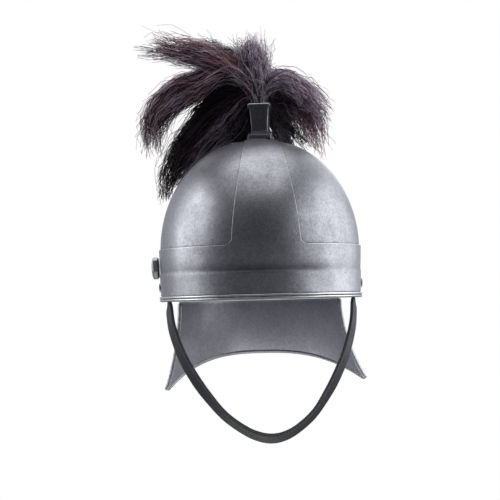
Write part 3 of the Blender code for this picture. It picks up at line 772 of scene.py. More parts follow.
# %% Build the holder
def make_holder():
    floor = LIP - SOCKET_DEPTH
    rows = [[(CREST_SIDE, 0.0, floor)] * SECTION_SIDES, holder_section(SOCKET_HALF, floor),
            holder_section(SOCKET_HALF, LIP - 0.002)]
    for row in HOLDER_OUTSIDE:
        rows.append(holder_section(row["half"] * HOLDER_HALF_WIDTH, HOLDER_FOOT + row["height"] * HOLDER_HEIGHT))
    seated = []
    for x, y, z in rows[-1]:
        share = 1 - (x / (HALF_WIDTH + FRAME_OUT)) ** 2 - (y / (HALF_LENGTH + FRAME_OUT)) ** 2
        seated.append((x, y, dome_height(sqrt(share), FRAME_OUT) + GAP))
    rows[-1] = seated
    rows.append([(CREST_SIDE, 0.0, CROWN + GAP)] * SECTION_SIDES)
    data = mesh_from_rows("plume_socket", rows, True)
    worn = data.attributes.new("worn", "FLOAT", "POINT")
    for vert in data.vertices:
        side = vert.co.x - CREST_SIDE
        x = side * cos(HOLDER_TURN) + vert.co.y * sin(HOLDER_TURN)
        y = -side * sin(HOLDER_TURN) + vert.co.y * cos(HOLDER_TURN)
        height = (vert.co.z - HOLDER_FOOT) / HOLDER_HEIGHT
        # Painted highlights: a bright line round the lip and one along the foot; the upright corners get wear and a
        # painted highlight.
        lip_highlight = smooth_step(height, 0.945, 0.980)
        foot_highlight = 0.5 * (1 - smooth_step(abs(height - 0.155), 0.01, 0.03))
        near = min(1.0, abs(x) / (abs(y) / HOLDER_DEPTH_RATIO + 1e-6), abs(y) / HOLDER_DEPTH_RATIO / (abs(x) + 1e-6))
        corner = 0.8 * smooth_step(near, 0.90, 0.99)
        worn.data[vert.index].value = max(lip_highlight, foot_highlight, corner)
    return finish_object("plume_socket", data, gunmetal, ["crest_holder"])


plume_socket = make_holder()

# %% [markdown]
# ## The side boss and the rivets
#
# Low on the wearer's right sits a six-sided boss, and on each side a round rivet holds the chin
# strap. All are turned shapes: a profile swept round an axis, with six steps for the boss and many
# for the rivets. They are placed on the oval wall with their axes square to it.

# %% A turned shape on the wall
def wall_matrix(side, back, height, grow):
    """Placement on the oval wall with local Z pointing straight out; side is -1 or 1."""
    grow -= wall_draw(height)
    angle = side * acos(back / (HALF_LENGTH + grow))
    outward = oval_outward(angle) - Vector((0.0, 0.0, WALL_DRAW / WALL_HEIGHT))
    turn = outward.to_track_quat("Z", "X").to_matrix().to_4x4()
    return Matrix.Translation(oval(angle, grow, height)) @ turn


def turned_rows(profile, steps):
    """Rings of points for a (radius, height) profile."""
    return [
        [(radius * cos(2 * pi * s / steps), radius * sin(2 * pi * s / steps), height) for s in range(steps)]
        for radius, height in profile
    ]


def fine_profile(profile, steps):
    """More points along a straight-sided profile, for an even spread of faces."""
    fine = []
    for (r0, h0), (r1, h1) in zip(profile, profile[1:]):
        fine += [(r0 + (r1 - r0) * s / steps, h0 + (h1 - h0) * s / steps) for s in range(steps)]
    return fine + [profile[-1]]


# %% Build the boss
BOSS_RADIUS = 0.0122
BOSS_PROUD = 0.0080
BOSS_TURN = radians(13)
BOSS_HEIGHT = 0.036
BOSS_PROFILE = [(0.0, 1.0), (0.36, 1.0), (0.72, 0.93), (1.0, 0.77), (1.0, 0.18), (0.88, 0.13), (0.88, 0.0),
                (0.0, 0.0)]


def make_boss():
    profile = [(radius * BOSS_RADIUS, height * BOSS_PROUD) for radius, height in BOSS_PROFILE]
    data = mesh_from_rows("hex_boss", turned_rows(profile, 6), True)
    place = wall_matrix(-1, 0.0, BOSS_HEIGHT, FRAME_OUT + BAND_STEP + GAP)
    data.transform(place @ Matrix.Rotation(BOSS_TURN, 4, "Z"))
    data.shade_flat()
    mark_worn(data, 0.004, radians(12))
    obj = finish_object("hex_boss", data, boss_steel, ["side_boss"])
    edge = obj.modifiers.new("rounded", "BEVEL")
    edge.width = 0.0006
    edge.segments = 3
    edge.limit_method = "ANGLE"
    edge.angle_limit = radians(12)
    edge.harden_normals = True
    return obj


hex_boss = make_boss()

# %% Build the rivets
RIVET_HEIGHT = 0.015
RIVET_BACK = -0.008
RIVET_RADIUS = 0.0048
RIVET_DOME = 0.0017
SHANK_RADIUS = 0.0019
LEATHER = 0.0035


def rivet_profile(inside):
    """A low domed head outside, the shank through the sheets, and a flat washer inside."""
    dome = [(RIVET_RADIUS * sin(pi / 2 * s / 8), GAP + (RIVET_DOME - GAP) * cos(pi / 2 * s / 8) ** 0.8)
            for s in range(8)]
    washer = 0.8 * RIVET_RADIUS
    return dome + [(RIVET_RADIUS, GAP), (SHANK_RADIUS, GAP), (SHANK_RADIUS, -inside), (washer, -inside),
                   (washer, -inside - 0.0011), (0.0, -inside - 0.0011)]


def make_rivet(name, node, side):
    low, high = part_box(node)
    outer, inner = (high.x, low.x) if side > 0 else (-low.x, -high.x)
    inside = outer - inner - RIVET_DOME - 0.0014
    data = mesh_from_rows(name, turned_rows(rivet_profile(inside), 40), True)
    data.transform(wall_matrix(side, RIVET_BACK, RIVET_HEIGHT, FRAME_OUT + BAND_STEP))
    mark_worn(data, 0.0012)
    return finish_object(name, data, gunmetal, [node])


rivet_right = make_rivet("rivet_right", "strap_rivet_right", -1)
rivet_left = make_rivet("rivet_left", "strap_rivet_left", 1)

# %% [markdown]
# ## The chin strap
#
# A thick leather strap is riveted inside both walls, follows the jaw and passes under the chin. It
# is one flat loop in a plane that leans forward, so a path in that plane and a width square to it
# describe it. The edges are rounded with a bevel. Thick leather is smooth on its face, and its cut
# edges are greyer and drier, which the same worn mark tells the material.

# %% The leather material
def make_leather():
    look = bpy.data.materials.new("strap_leather")
    look.use_nodes = True
    tree = look.node_tree
    shader = tree.nodes["Principled BSDF"]
    shader.inputs["Specular IOR Level"].default_value = 0.55
    grain = place_group(tree, cast_grain)
    grain.inputs["Grain Scale"].default_value = 700.0
    grain.inputs["Patch Scale"].default_value = 45.0
    wear = place_group(tree, edge_wear)
    wear.inputs["Reach"].default_value = 0.62
    face = mix_colour(tree, grain.outputs["Patches"], (0.010, 0.010, 0.014), (0.026, 0.026, 0.034))
    colour = mix_colour(tree, wear.outputs["Mask"], face, (0.160, 0.163, 0.185))
    tree.links.new(colour, shader.inputs["Base Color"])
    roughness = mapped(tree, grain.outputs["Patches"], 0.0, 1.0, 0.36, 0.50)
    tree.links.new(math_node(tree, "ADD", roughness, math_node(tree, "MULTIPLY", wear.outputs["Mask"], 0.15)),
                   shader.inputs["Roughness"])
    creases = add_node(tree, "ShaderNodeTexVoronoi", {"feature": "DISTANCE_TO_EDGE"}, Scale=850.0,
                       Vector=add_node(tree, "ShaderNodeTexCoord").outputs["Object"])
    height = math_node(tree, "ADD", mapped(tree, creases.outputs["Distance"], 0.0, 0.12),
                       math_node(tree, "MULTIPLY", grain.outputs["Grain"], 0.6))
    bump = add_node(tree, "ShaderNodeBump", None, Strength=0.6, Distance=0.00012, Height=height)
    tree.links.new(bump.outputs["Normal"], shader.inputs["Normal"])
    return look


strap_leather = make_leather()

# %% Build the strap
LEATHER_WIDTH = 0.022
LEATHER_DROP = 0.141
LEATHER_END_HEIGHT = 0.030
LEATHER_SLOPE = radians(24)
LEATHER_LEAN = 0.006
LEATHER_TWIST = 0.22
strap_low, strap_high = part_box("chin_strap")
LEATHER_SPAN = (strap_high.x - strap_low.x) / 2 - LEATHER / 2

LEATHER_ROUTE = [
    {"across": 1.000, "down": 0.00}, {"across": 0.993, "down": 0.07}, {"across": 0.965, "down": 0.21},
    {"across": 0.875, "down": 0.40}, {"across": 0.750, "down": 0.57}, {"across": 0.615, "down": 0.71},
    {"across": 0.460, "down": 0.84}, {"across": 0.270, "down": 0.94}, {"across": 0.130, "down": 0.985},
]


def smooth_route(rows, steps):
    """Catmull-Rom points through the rows, with steps to each stretch."""
    rows = np.array(rows, dtype=float)
    ends = np.vstack([2 * rows[0] - rows[1], rows, 2 * rows[-1] - rows[-2]])
    made = []
    for before, start, end, after in zip(ends, ends[1:], ends[2:], ends[3:]):
        t = (np.arange(steps) / steps)[:, None]
        made.append(0.5 * (2 * start + (end - before) * t
                           + (2 * before - 5 * start + 4 * end - after) * t**2
                           + (3 * start - before - 3 * end + after) * t**3))
    return np.vstack(made + [ends[-2:-1]])


def leather_path():
    """(across, up the slope) points of the loop, up counted from the rivets."""
    slope = cos(LEATHER_SLOPE)
    half = [(LEATHER_SPAN, 0.0, (LEATHER_END_HEIGHT - RIVET_HEIGHT) / slope), (LEATHER_SPAN, 0.0, 0.0)]
    for row in LEATHER_ROUTE:
        up = (-row["down"] * LEATHER_DROP - RIVET_HEIGHT) / slope
        half.append((row["across"] * LEATHER_SPAN, LEATHER_LEAN * row["down"] ** 2, up))
    right = [(-across + lean, up) for across, lean, up in half]
    left = [(across + lean, up) for across, lean, up in reversed(half)]
    bottom = [(LEATHER_LEAN, (-LEATHER_DROP - RIVET_HEIGHT) / slope)]
    return smooth_route(right + bottom + left, 8)


def leather_twist(across, up):
    """Slope of the strap's face across its width: below the rim its front edge turns inwards."""
    down = -(RIVET_HEIGHT + up * cos(LEATHER_SLOPE)) / LEATHER_DROP
    fade = smooth_step(down, -0.02, 0.07) * (1 - smooth_step(down, 0.55, 0.98))
    return LEATHER_TWIST * fade * (-1 if across > 0 else 1)


def make_strap():
    plane = Matrix.Translation((0.0, RIVET_BACK, RIVET_HEIGHT)) @ Matrix.Rotation(pi / 2 - LEATHER_SLOPE, 4, "X")
    sides = [-1.0, -0.93, -0.75, -0.5, -0.25, 0.0, 0.25, 0.5, 0.75, 0.93, 1.0]
    rows = []
    for across, up in leather_path():
        turn = leather_twist(across, up)
        half = LEATHER_WIDTH / 2
        rows.append([plane @ Vector((across + turn * side * half, up, side * half)) for side in sides])
    data = mesh_from_rows("leather_strap", rows, False)
    mark_worn(data, 0.0016)
    obj = finish_object("leather_strap", data, strap_leather, ["chin_strap"])
    thicken(obj, LEATHER, 0.0, 0.0008, 3)
    return obj


leather_strap = make_strap()

# %% [markdown]
# ## The plume
#
# The plume is a bunch of coarse horse hair bound at its root. Its hairs fall in separate locks,
# each with its own curve. Blender's hair system would need simulation and gives no plain mesh, so
# the hair is made here with arrays: a table holds the middle line and thickness of each lock, a
# smooth curve runs through it, and thousands of hairs follow the curve at their own distance from
# it. Hairs gather in small tufts, as greasy or combed hair does, and a few fly away. Each hair is a
# three-sided tube that thins to its tip.

# %% The locks
PLUME_REACH = 0.127
HAIR_STEPS = 11
HAIRS_PER_STRAND = 8
STRAND_TABLE = 48
ROOT_ROW = (0.00, 0.00, -0.05, 0.055)

# across, back, up and thickness as shares of PLUME_REACH, counted from the holder's lip
# A lock's tone is partly the hair's own colour and partly painted light and shade: higher for the locks on top, lower
# for those underneath and behind.
LOCKS = {
    "upper_right": {"hairs": 900, "tone": 0.96, "red": 1.3, "frizz": 1.4, "ragged": 0.90, "core": 0.38, "rows": [
        (-0.03, 0.00, 0.09, 0.06), (-0.14, 0.00, 0.25, 0.09), (-0.32, -0.01, 0.38, 0.10),
        (-0.52, -0.04, 0.46, 0.09), (-0.71, -0.08, 0.50, 0.08), (-0.86, -0.12, 0.56, 0.07)]},
    "right_point": {"hairs": 480, "tone": 1.05, "red": 0.2, "frizz": 1.2, "ragged": 0.75, "core": 0.20, "rows": [
        (-0.03, 0.00, 0.10, 0.06), (-0.14, 0.03, 0.24, 0.08), (-0.33, 0.07, 0.33, 0.09),
        (-0.54, 0.08, 0.38, 0.07), (-0.76, 0.08, 0.43, 0.05), (-0.98, 0.08, 0.465, 0.03)]},
    "right_droop": {"hairs": 2100, "tone": 0.70, "red": 1.2, "frizz": 1.6, "ragged": 0.60, "core": 0.60, "rows": [
        (-0.03, 0.00, 0.10, 0.06), (-0.13, 0.01, 0.24, 0.09), (-0.33, 0.04, 0.27, 0.10),
        (-0.53, 0.07, 0.18, 0.13), (-0.68, 0.08, 0.11, 0.14), (-0.82, 0.09, 0.00, 0.13),
        (-0.90, 0.10, -0.14, 0.11), (-0.92, 0.10, -0.31, 0.07)]},
    "right_fall": {"hairs": 1650, "tone": 0.15, "red": 0.6, "frizz": 1.2, "ragged": 0.62, "core": 0.62, "rows": [
        (-0.03, 0.03, 0.10, 0.07), (-0.11, 0.10, 0.10, 0.13), (-0.24, 0.18, 0.02, 0.17),
        (-0.43, 0.23, -0.12, 0.17), (-0.60, 0.25, -0.31, 0.14), (-0.72, 0.25, -0.49, 0.11),
        (-0.79, 0.24, -0.62, 0.08), (-0.81, 0.22, -0.71, 0.05)]},
    "right_under": {"hairs": 800, "tone": 0.14, "red": 0.3, "frizz": 1.0, "ragged": 0.40, "core": 0.62, "rows": [
        (-0.03, 0.05, 0.09, 0.06), (-0.14, 0.08, 0.13, 0.10), (-0.30, 0.11, 0.11, 0.10),
        (-0.44, 0.13, 0.03, 0.09), (-0.54, 0.14, -0.05, 0.06)]},
    "right_saddle": {"hairs": 1100, "tone": 0.46, "red": 0.3, "frizz": 1.0, "ragged": 0.45, "core": 0.62, "rows": [
        (-0.03, 0.03, 0.08, 0.07), (-0.12, 0.10, 0.02, 0.12), (-0.26, 0.14, -0.15, 0.14),
        (-0.40, 0.15, -0.28, 0.12), (-0.55, 0.15, -0.44, 0.09), (-0.66, 0.14, -0.60, 0.06)]},
    "right_fringe": {"hairs": 1000, "tone": 0.22, "red": 0.1, "frizz": 1.0, "ragged": 0.40, "core": 0.62, "rows": [
        (-0.02, 0.05, 0.07, 0.08), (-0.08, 0.11, -0.05, 0.12), (-0.15, 0.10, -0.20, 0.12),
        (-0.23, 0.10, -0.32, 0.10)]},
    "crown_right": {"hairs": 1350, "tone": 0.74, "red": 0.9, "frizz": 1.5, "ragged": 0.55, "core": 0.55, "rows": [
        (-0.02, 0.01, 0.09, 0.06), (-0.10, 0.06, 0.24, 0.10), (-0.22, 0.10, 0.37, 0.11),
        (-0.35, 0.13, 0.45, 0.10), (-0.48, 0.15, 0.53, 0.07)]},
    "crown_back": {"hairs": 900, "tone": 0.60, "red": 0.3, "frizz": 1.5, "ragged": 0.50, "core": 0.55, "rows": [
        (0.00, 0.03, 0.09, 0.06), (-0.06, 0.12, 0.22, 0.11), (-0.13, 0.18, 0.35, 0.11),
        (-0.20, 0.22, 0.46, 0.07)]},
    "tuft_right": {"hairs": 1000, "tone": 1.20, "red": 0.2, "frizz": 2.0, "ragged": 0.40, "core": 0.55, "rows": [
        (-0.01, 0.00, 0.09, 0.06), (-0.03, 0.01, 0.24, 0.10), (-0.08, 0.02, 0.40, 0.11),
        (-0.12, 0.03, 0.53, 0.08)]},
    "tuft_left": {"hairs": 950, "tone": 1.20, "red": 0.1, "frizz": 2.0, "ragged": 0.40, "core": 0.55, "rows": [
        (0.01, 0.00, 0.09, 0.06), (0.01, -0.02, 0.24, 0.09), (-0.01, -0.02, 0.38, 0.09),
        (-0.02, -0.01, 0.50, 0.07)]},
    "left_arch": {"hairs": 1250, "tone": 1.60, "red": 0.4, "frizz": 1.3, "ragged": 0.65, "core": 0.50, "rows": [
        (0.02, 0.00, 0.09, 0.06), (0.08, 0.00, 0.16, 0.09), (0.19, 0.01, 0.20, 0.11),
        (0.33, 0.01, 0.12, 0.11), (0.46, 0.01, 0.00, 0.10), (0.55, 0.01, -0.10, 0.07)]},
    "left_fall": {"hairs": 850, "tone": 1.25, "red": 1.3, "frizz": 1.5, "ragged": 0.70, "core": 0.36, "rows": [
        (0.02, 0.02, 0.09, 0.06), (0.09, 0.06, 0.13, 0.09), (0.22, 0.09, 0.15, 0.11),
        (0.34, 0.11, 0.06, 0.12), (0.43, 0.12, -0.07, 0.11), (0.48, 0.12, -0.21, 0.09),
        (0.51, 0.11, -0.35, 0.06)]},
    "left_inner": {"hairs": 330, "tone": 0.40, "red": 0.8, "frizz": 1.2, "ragged": 0.75, "core": 0.22, "rows": [
        (0.02, 0.04, 0.09, 0.06), (0.09, 0.08, 0.10, 0.08), (0.20, 0.11, 0.06, 0.10),
        (0.30, 0.13, -0.05, 0.11), (0.37, 0.13, -0.18, 0.10), (0.42, 0.13, -0.31, 0.07)]},
    "pale_strand": {"hairs": 6, "tone": 2.40, "red": 0.8, "frizz": 0.3, "ragged": 0.10, "core": 0.00, "rows": [
        (-0.03, -0.03, 0.10, 0.02), (-0.12, -0.07, 0.25, 0.012), (-0.26, -0.10, 0.32, 0.008),
        (-0.48, -0.10, 0.20, 0.008), (-0.66, -0.08, 0.09, 0.010)]},
    "left_fringe": {"hairs": 380, "tone": 0.30, "red": 0.2, "frizz": 1.0, "ragged": 0.60, "core": 0.25, "rows": [
        (0.02, 0.05, 0.07, 0.08), (0.08, 0.11, -0.03, 0.11), (0.15, 0.14, -0.16, 0.11),
        (0.22, 0.15, -0.28, 0.08)]},
    "left_back": {"hairs": 420, "tone": 0.30, "red": 0.5, "frizz": 1.1, "ragged": 0.60, "core": 0.30, "rows": [
        (0.02, 0.04, 0.09, 0.07), (0.08, 0.16, 0.09, 0.11), (0.17, 0.24, 0.01, 0.12),
        (0.27, 0.29, -0.11, 0.10), (0.35, 0.31, -0.24, 0.06), (0.41, 0.31, -0.34, 0.04)]},
    "nape_right": {"hairs": 900, "tone": 0.35, "red": 0.3, "frizz": 1.0, "ragged": 0.45, "core": 0.62, "rows": [
        (-0.03, 0.05, 0.09, 0.07), (-0.11, 0.18, 0.12, 0.12), (-0.23, 0.33, 0.02, 0.13),
        (-0.35, 0.46, -0.16, 0.11), (-0.44, 0.56, -0.39, 0.08), (-0.50, 0.62, -0.60, 0.05)]},
    "nape_middle": {"hairs": 1000, "tone": 0.40, "red": 0.3, "frizz": 1.0, "ragged": 0.45, "core": 0.62, "rows": [
        (0.00, 0.05, 0.09, 0.07), (-0.04, 0.20, 0.14, 0.12), (-0.07, 0.38, 0.08, 0.13),
        (-0.09, 0.55, -0.08, 0.12), (-0.10, 0.69, -0.27, 0.10), (-0.10, 0.80, -0.47, 0.07),
        (-0.10, 0.88, -0.65, 0.05)]},
    "nape_left": {"hairs": 850, "tone": 0.35, "red": 0.3, "frizz": 1.0, "ragged": 0.45, "core": 0.62, "rows": [
        (0.02, 0.05, 0.09, 0.07), (0.06, 0.20, 0.11, 0.11), (0.12, 0.36, 0.04, 0.12),
        (0.18, 0.52, -0.11, 0.11), (0.23, 0.66, -0.31, 0.08), (0.25, 0.76, -0.51, 0.05)]},
}
print("locks:", len(LOCKS), "hairs:", sum(lock["hairs"] for lock in LOCKS.values()))

# %% [markdown]
# ## The hair material
#
# Horse hair is black where it is dense and turns a dusty purple-brown where light gets through it;
# here that light is painted into the colour. Every hair carries its own tone, lighter for some hairs
# than for others and lighter towards the tip, and the material reads the tone as a colour between
# three shades. The differences from hair to hair are partly the hair's own and partly painted
# highlights. The lighter tips, the lighter tops and darker undersides of the locks, and the darker
# locks underneath and behind are painted light and shade.

# %% The hair material
def make_hair_look(name):
    look = bpy.data.materials.new(name)
    look.use_nodes = True
    tree = look.node_tree
    shader = tree.nodes["Principled BSDF"]
    shader.inputs["Specular IOR Level"].default_value = 0.45
    tone = add_node(tree, "ShaderNodeAttribute", {"attribute_name": "tone"}).outputs["Fac"]
    place = add_node(tree, "ShaderNodeTexCoord").outputs["Object"]
    red = add_node(tree, "ShaderNodeAttribute", {"attribute_name": "red"}).outputs["Fac"]
    patchy = mapped(tree, noise_value(tree, place, 30.0, 2.0), 0.40, 0.60, 0.4, 1.0)
    redder = math_node(tree, "MULTIPLY", red, patchy, clamp=True)
    middle = mix_colour(tree, redder, (0.130, 0.098, 0.140), (0.170, 0.076, 0.086))
    # The pale shade is partly the hair's lighter colour and partly a painted highlight.
    pale = mix_colour(tree, redder, (0.90, 0.81, 0.95), (0.66, 0.41, 0.46))
    dark = mix_colour(tree, mapped(tree, tone, 0.0, 0.55), (0.004, 0.0035, 0.006), middle)
    colour = mix_colour(tree, mapped(tree, tone, 0.50, 1.20), dark, pale)
    tree.links.new(colour, shader.inputs["Base Color"])
    tree.links.new(mapped(tree, tone, 0.0, 1.0, 0.30, 0.45), shader.inputs["Roughness"])
    return look


plume_hair = make_hair_look("plume_hair")


# %% Curves with a frame that doesn't twist
def lock_frames(rows, steps=10):
    """Middle points, thickness and two side directions all along a lock, going a little past its last row."""
    rows = np.array([ROOT_ROW] + [tuple(row) for row in rows])
    beyond = rows[-1] + (rows[-1] - rows[-2]) * 0.35
    beyond[3] = rows[-1][3]
    route = smooth_route(np.vstack([rows, beyond]), steps)
    centre, thickness = route[:, :3] * PLUME_REACH, route[:, 3] * PLUME_REACH
    centre = centre + np.array([CREST_SIDE, 0.0, LIP])
    forward = np.gradient(centre, axis=0)
    forward /= np.linalg.norm(forward, axis=1)[:, None]
    side = np.cross(forward[0], (0.0, 1.0, 0.0))
    sides, ups = [], []
    for direction in forward:
        side = side - direction * (side @ direction)
        side = side / np.linalg.norm(side)
        sides.append(side)
        ups.append(np.cross(direction, side))
    length = np.concatenate([[0.0], np.cumsum(np.linalg.norm(np.diff(centre, axis=0), axis=1))])
    last = length[-1 - steps]
    return {"centre": centre, "thickness": thickness, "side": np.array(sides), "up": np.array(ups),
            "share": length / last, "length": last}


def along(frames, key, share):
    """Values of one of the frames' arrays at any share of the lock's length."""
    values = frames[key]
    if values.ndim == 1:
        return np.interp(share, frames["share"], values)
    return np.stack([np.interp(share, frames["share"], values[:, axis]) for axis in range(3)], axis=-1)


def in_circle(rng, count):
    """Random points of a round section, as many near its edge as in its middle."""
    out, turn = np.sqrt(rng.random(count)), rng.random(count) * 2 * pi
    return np.stack([out * np.cos(turn), out * np.sin(turn)], axis=-1)


# %% Hairs that follow a lock
def waves(rng, count, metres):
    """(count, steps, 3) sideways waves of size about 1, each with its own phases and pace."""
    phase = rng.random((count, 3, 3)) * 2 * pi
    pace = rng.uniform(0.75, 1.3, (count, 3, 1))
    return np.stack([
        np.sin(phase[:, axis, 0:1] + 50 * pace[:, axis] * metres)
        + 0.75 * np.sin(phase[:, axis, 1:2] + 130 * pace[:, axis] * metres)
        + 0.45 * np.sin(phase[:, axis, 2:3] + 290 * pace[:, axis] * metres)
        for axis in range(3)
    ], axis=-1)


def hair_paths(frames, count, rng, lock):
    """(count, HAIR_STEPS, 3) points of the hairs, how far along the lock each lies, and their strands."""
    step = np.linspace(0.0, 1.0, HAIR_STEPS)
    strands = max(12, count // HAIRS_PER_STRAND)
    strand = rng.integers(0, strands, count)
    strand_place, own_place = in_circle(rng, strands)[strand], in_circle(rng, count)
    strand_end = (1.06 - lock["ragged"] * rng.random(strands) ** 1.4)[strand]
    loose = rng.random(count) < 0.25
    flying = rng.random(count) < 0.05
    end = strand_end * (1.0 - 0.30 * rng.random(count) ** 1.5)
    end = np.where(flying, end + 0.06, end)
    begin = np.maximum(rng.uniform(0.0, 0.02, count), end - rng.uniform(0.40, 0.95, count))
    share = begin[:, None] + (end - begin)[:, None] * step
    gather = (0.30 + 0.62 * share.clip(0, 1) ** 0.6) * np.where(loose, 0.30, 1.0)[:, None]
    place = own_place[:, None, :] * (1 - gather[..., None]) + strand_place[:, None, :] * gather[..., None]
    widen = 1 + 0.1 * share**2
    place = place * (widen * np.where(flying, 1.4, 1.0)[:, None])[..., None]
    thick = along(frames, "thickness", share)[..., None]
    points = along(frames, "centre", share)
    points = points + thick * (place[..., 0:1] * along(frames, "side", share)
                               + place[..., 1:2] * along(frames, "up", share))
    metres = share * frames["length"]
    table_metres = np.linspace(0.0, 1.12, STRAND_TABLE) * frames["length"]
    row = (share.clip(0, 1.12) / 1.12 * (STRAND_TABLE - 1)).astype(int)
    crinkle = rng.normal(0.0, 0.8, (strands, STRAND_TABLE, 3))
    shared = (waves(rng, strands, table_metres[None, :]) + crinkle)[strand[:, None], row]
    grow = 0.25 + share**1.1
    swing = rng.uniform(0.0004, 0.0015, strands)[strand][:, None] * grow
    own = np.where(flying, 0.0016, rng.uniform(0.0001, 0.0005, count))[:, None] * grow
    loose_jitter = rng.normal(0.0, 1.0, points.shape) * 0.00035
    hook = rng.normal(0.0, 1.0, (count, 1, 3)) * 0.0024 * (step**4)[None, :, None]
    moved = shared * swing[..., None] + waves(rng, count, metres) * own[..., None] + hook + loose_jitter
    return points + moved * lock["frizz"], share, strand


def clear_of_helmet(points, clearance=0.0012):
    """Pushes points that would lie inside the dome out to its surface, straight away from its middle."""
    axes = np.array([HALF_WIDTH, HALF_LENGTH, DOME_RISE]) + FRAME_OUT + clearance
    centre = np.array([0.0, 0.0, WALL_HEIGHT])
    local = (points - centre) / axes
    local[..., 2] += CROWN_FLAT / axes[2] * local[..., 2].clip(0, 1) ** CROWN_FLAT_POWER
    size = np.linalg.norm(local, axis=-1, keepdims=True)
    pushed = local / np.maximum(size, 1e-6)
    pushed[..., 2] -= CROWN_FLAT / axes[2] * pushed[..., 2].clip(0, 1) ** CROWN_FLAT_POWER
    inside = (size < 1.0) & (points[..., 2:3] > WALL_HEIGHT)
    return np.where(inside, centre + pushed * axes, points)


def tubes_from_paths(name, paths, radii, marks):
    """One mesh of three-sided tubes, one for each path; marks are numbers stored at every step of a path."""
    count, steps = paths.shape[:2]
    forward = np.gradient(paths, axis=1)
    forward /= np.linalg.norm(forward, axis=-1, keepdims=True) + 1e-12
    helper = np.where(np.abs(forward[..., 2:3]) > 0.9, (1.0, 0.0, 0.0), (0.0, 0.0, 1.0))
    side = np.cross(forward, helper)
    side /= np.linalg.norm(side, axis=-1, keepdims=True)
    up = np.cross(forward, side)
    radius = radii[..., None]
    ring = [paths + radius * (cos(a) * side + sin(a) * up) for a in (0.0, 2 * pi / 3, 4 * pi / 3)]
    verts = np.stack(ring, axis=2).reshape(-1, 3)
    hair, row, corner = np.meshgrid(np.arange(count), np.arange(steps - 1), np.arange(3), indexing="ij")
    base = (hair * steps + row) * 3
    after = (corner + 1) % 3
    faces = np.stack([base + corner, base + after, base + 3 + after, base + 3 + corner], axis=-1).reshape(-1, 4)
    ends = np.arange(count)[:, None] * steps * 3
    caps = np.concatenate([ends + [2, 1, 0], ends + (steps - 1) * 3 + [0, 1, 2]])
    data = bpy.data.meshes.new(name)
    data.vertices.add(len(verts))
    data.vertices.foreach_set("co", verts.astype(np.float32).ravel())
    loops = np.concatenate([faces.ravel(), caps.ravel()])
    starts = np.concatenate([np.arange(len(faces)) * 4, len(faces) * 4 + np.arange(len(caps)) * 3])
    data.loops.add(len(loops))
    data.loops.foreach_set("vertex_index", loops.astype(np.int32))
    data.polygons.add(len(starts))
    data.polygons.foreach_set("loop_start", starts.astype(np.int32))
    data.update(calc_edges=True)
    data.validate()
    data.shade_smooth()
    for mark, numbers in marks.items():
        value = data.attributes.new(mark, "FLOAT", "POINT")
        value.data.foreach_set("value", np.repeat(numbers.reshape(-1), 3).astype(np.float32))
    return data


# %% Grow every lock
HAIR_AMOUNT = 0.62
HAIR_RADIUS = 0.00037
TIP_RADIUS = 0.00019


def within_size(paths):
    """True for the hairs that stay near enough to the solid model's box."""
    low, high = np.array(CAD_LOW), np.array(CAD_HIGH)
    spare = 0.008 + 0.03 * (high - low)
    return ((paths > low - spare) & (paths < high + spare)).all(axis=(1, 2))


def painted_light_from_above(paths, frames, share):
    """Painted light and shade: 1 for hairs on top of their lock, which are made lighter, and -1 for those under it,
    which are made darker.
    """
    above = paths[..., 2] - along(frames, "centre", share)[..., 2]
    return (above / along(frames, "thickness", share)).clip(-1, 1)


def make_lock(name, lock, seed):
    rng = np.random.default_rng(seed)
    count = int(lock["hairs"] * HAIR_AMOUNT)
    frames = lock_frames(lock["rows"])
    paths, share, strand = hair_paths(frames, count, rng, lock)
    paths = clear_of_helmet(paths)
    kept = within_size(paths)
    paths, share, strand = paths[kept], share[kept], strand[kept]
    count = len(paths)
    strands = strand.max() + 1
    # About four strands in ten are pale: partly the hair's own differences, partly painted highlights.
    light = rng.random(strands) < 0.42
    strand_tone = np.where(light, rng.uniform(0.3, 1.0, strands), rng.uniform(-0.9, -0.1, strands))
    own = (strand_tone[strand] + rng.normal(0.0, 0.08, count))[:, None]
    spread = 0.20 + 0.80 * min(1.0, lock["tone"])
    # Painted light and shade: hairs near the tip and on top of their lock are lighter, those under it darker.
    tones = lock["tone"] * (0.50 + 0.50 * share**0.7 + 0.15 * painted_light_from_above(paths, frames, share)) + own * spread
    reds = np.repeat((lock["red"] + rng.normal(0.0, 0.35, strands)[strand])[:, None], HAIR_STEPS, axis=1)
    step = np.linspace(0.0, 1.0, HAIR_STEPS)
    radii = (HAIR_RADIUS + (TIP_RADIUS - HAIR_RADIUS) * step**1.5) * rng.uniform(0.75, 1.25, count)[:, None]
    marks = {"tone": tones.clip(0.0, 1.3), "red": reds.clip(0.0, 1.0)}
    data = tubes_from_paths("hair_" + name, paths, radii, marks)
    return finish_object("hair_" + name, data, plume_hair, ["plume"])


hair_pieces = [make_lock(name, lock, 40 + index) for index, (name, lock) in enumerate(LOCKS.items())]
print("hair triangles:", sum(len(p.data.polygons) * 2 for p in hair_pieces))

# %% [markdown]
# ## The dark heart of the plume
#
# Between the hairs one never sees daylight near the root, because hundreds of thousands of real
# hairs fill it. Instead of making them all, each lock gets a slim dark core, well inside its hairs
# and ending before they do.

# %% Build the cores
CORE_SHARE = 0.52


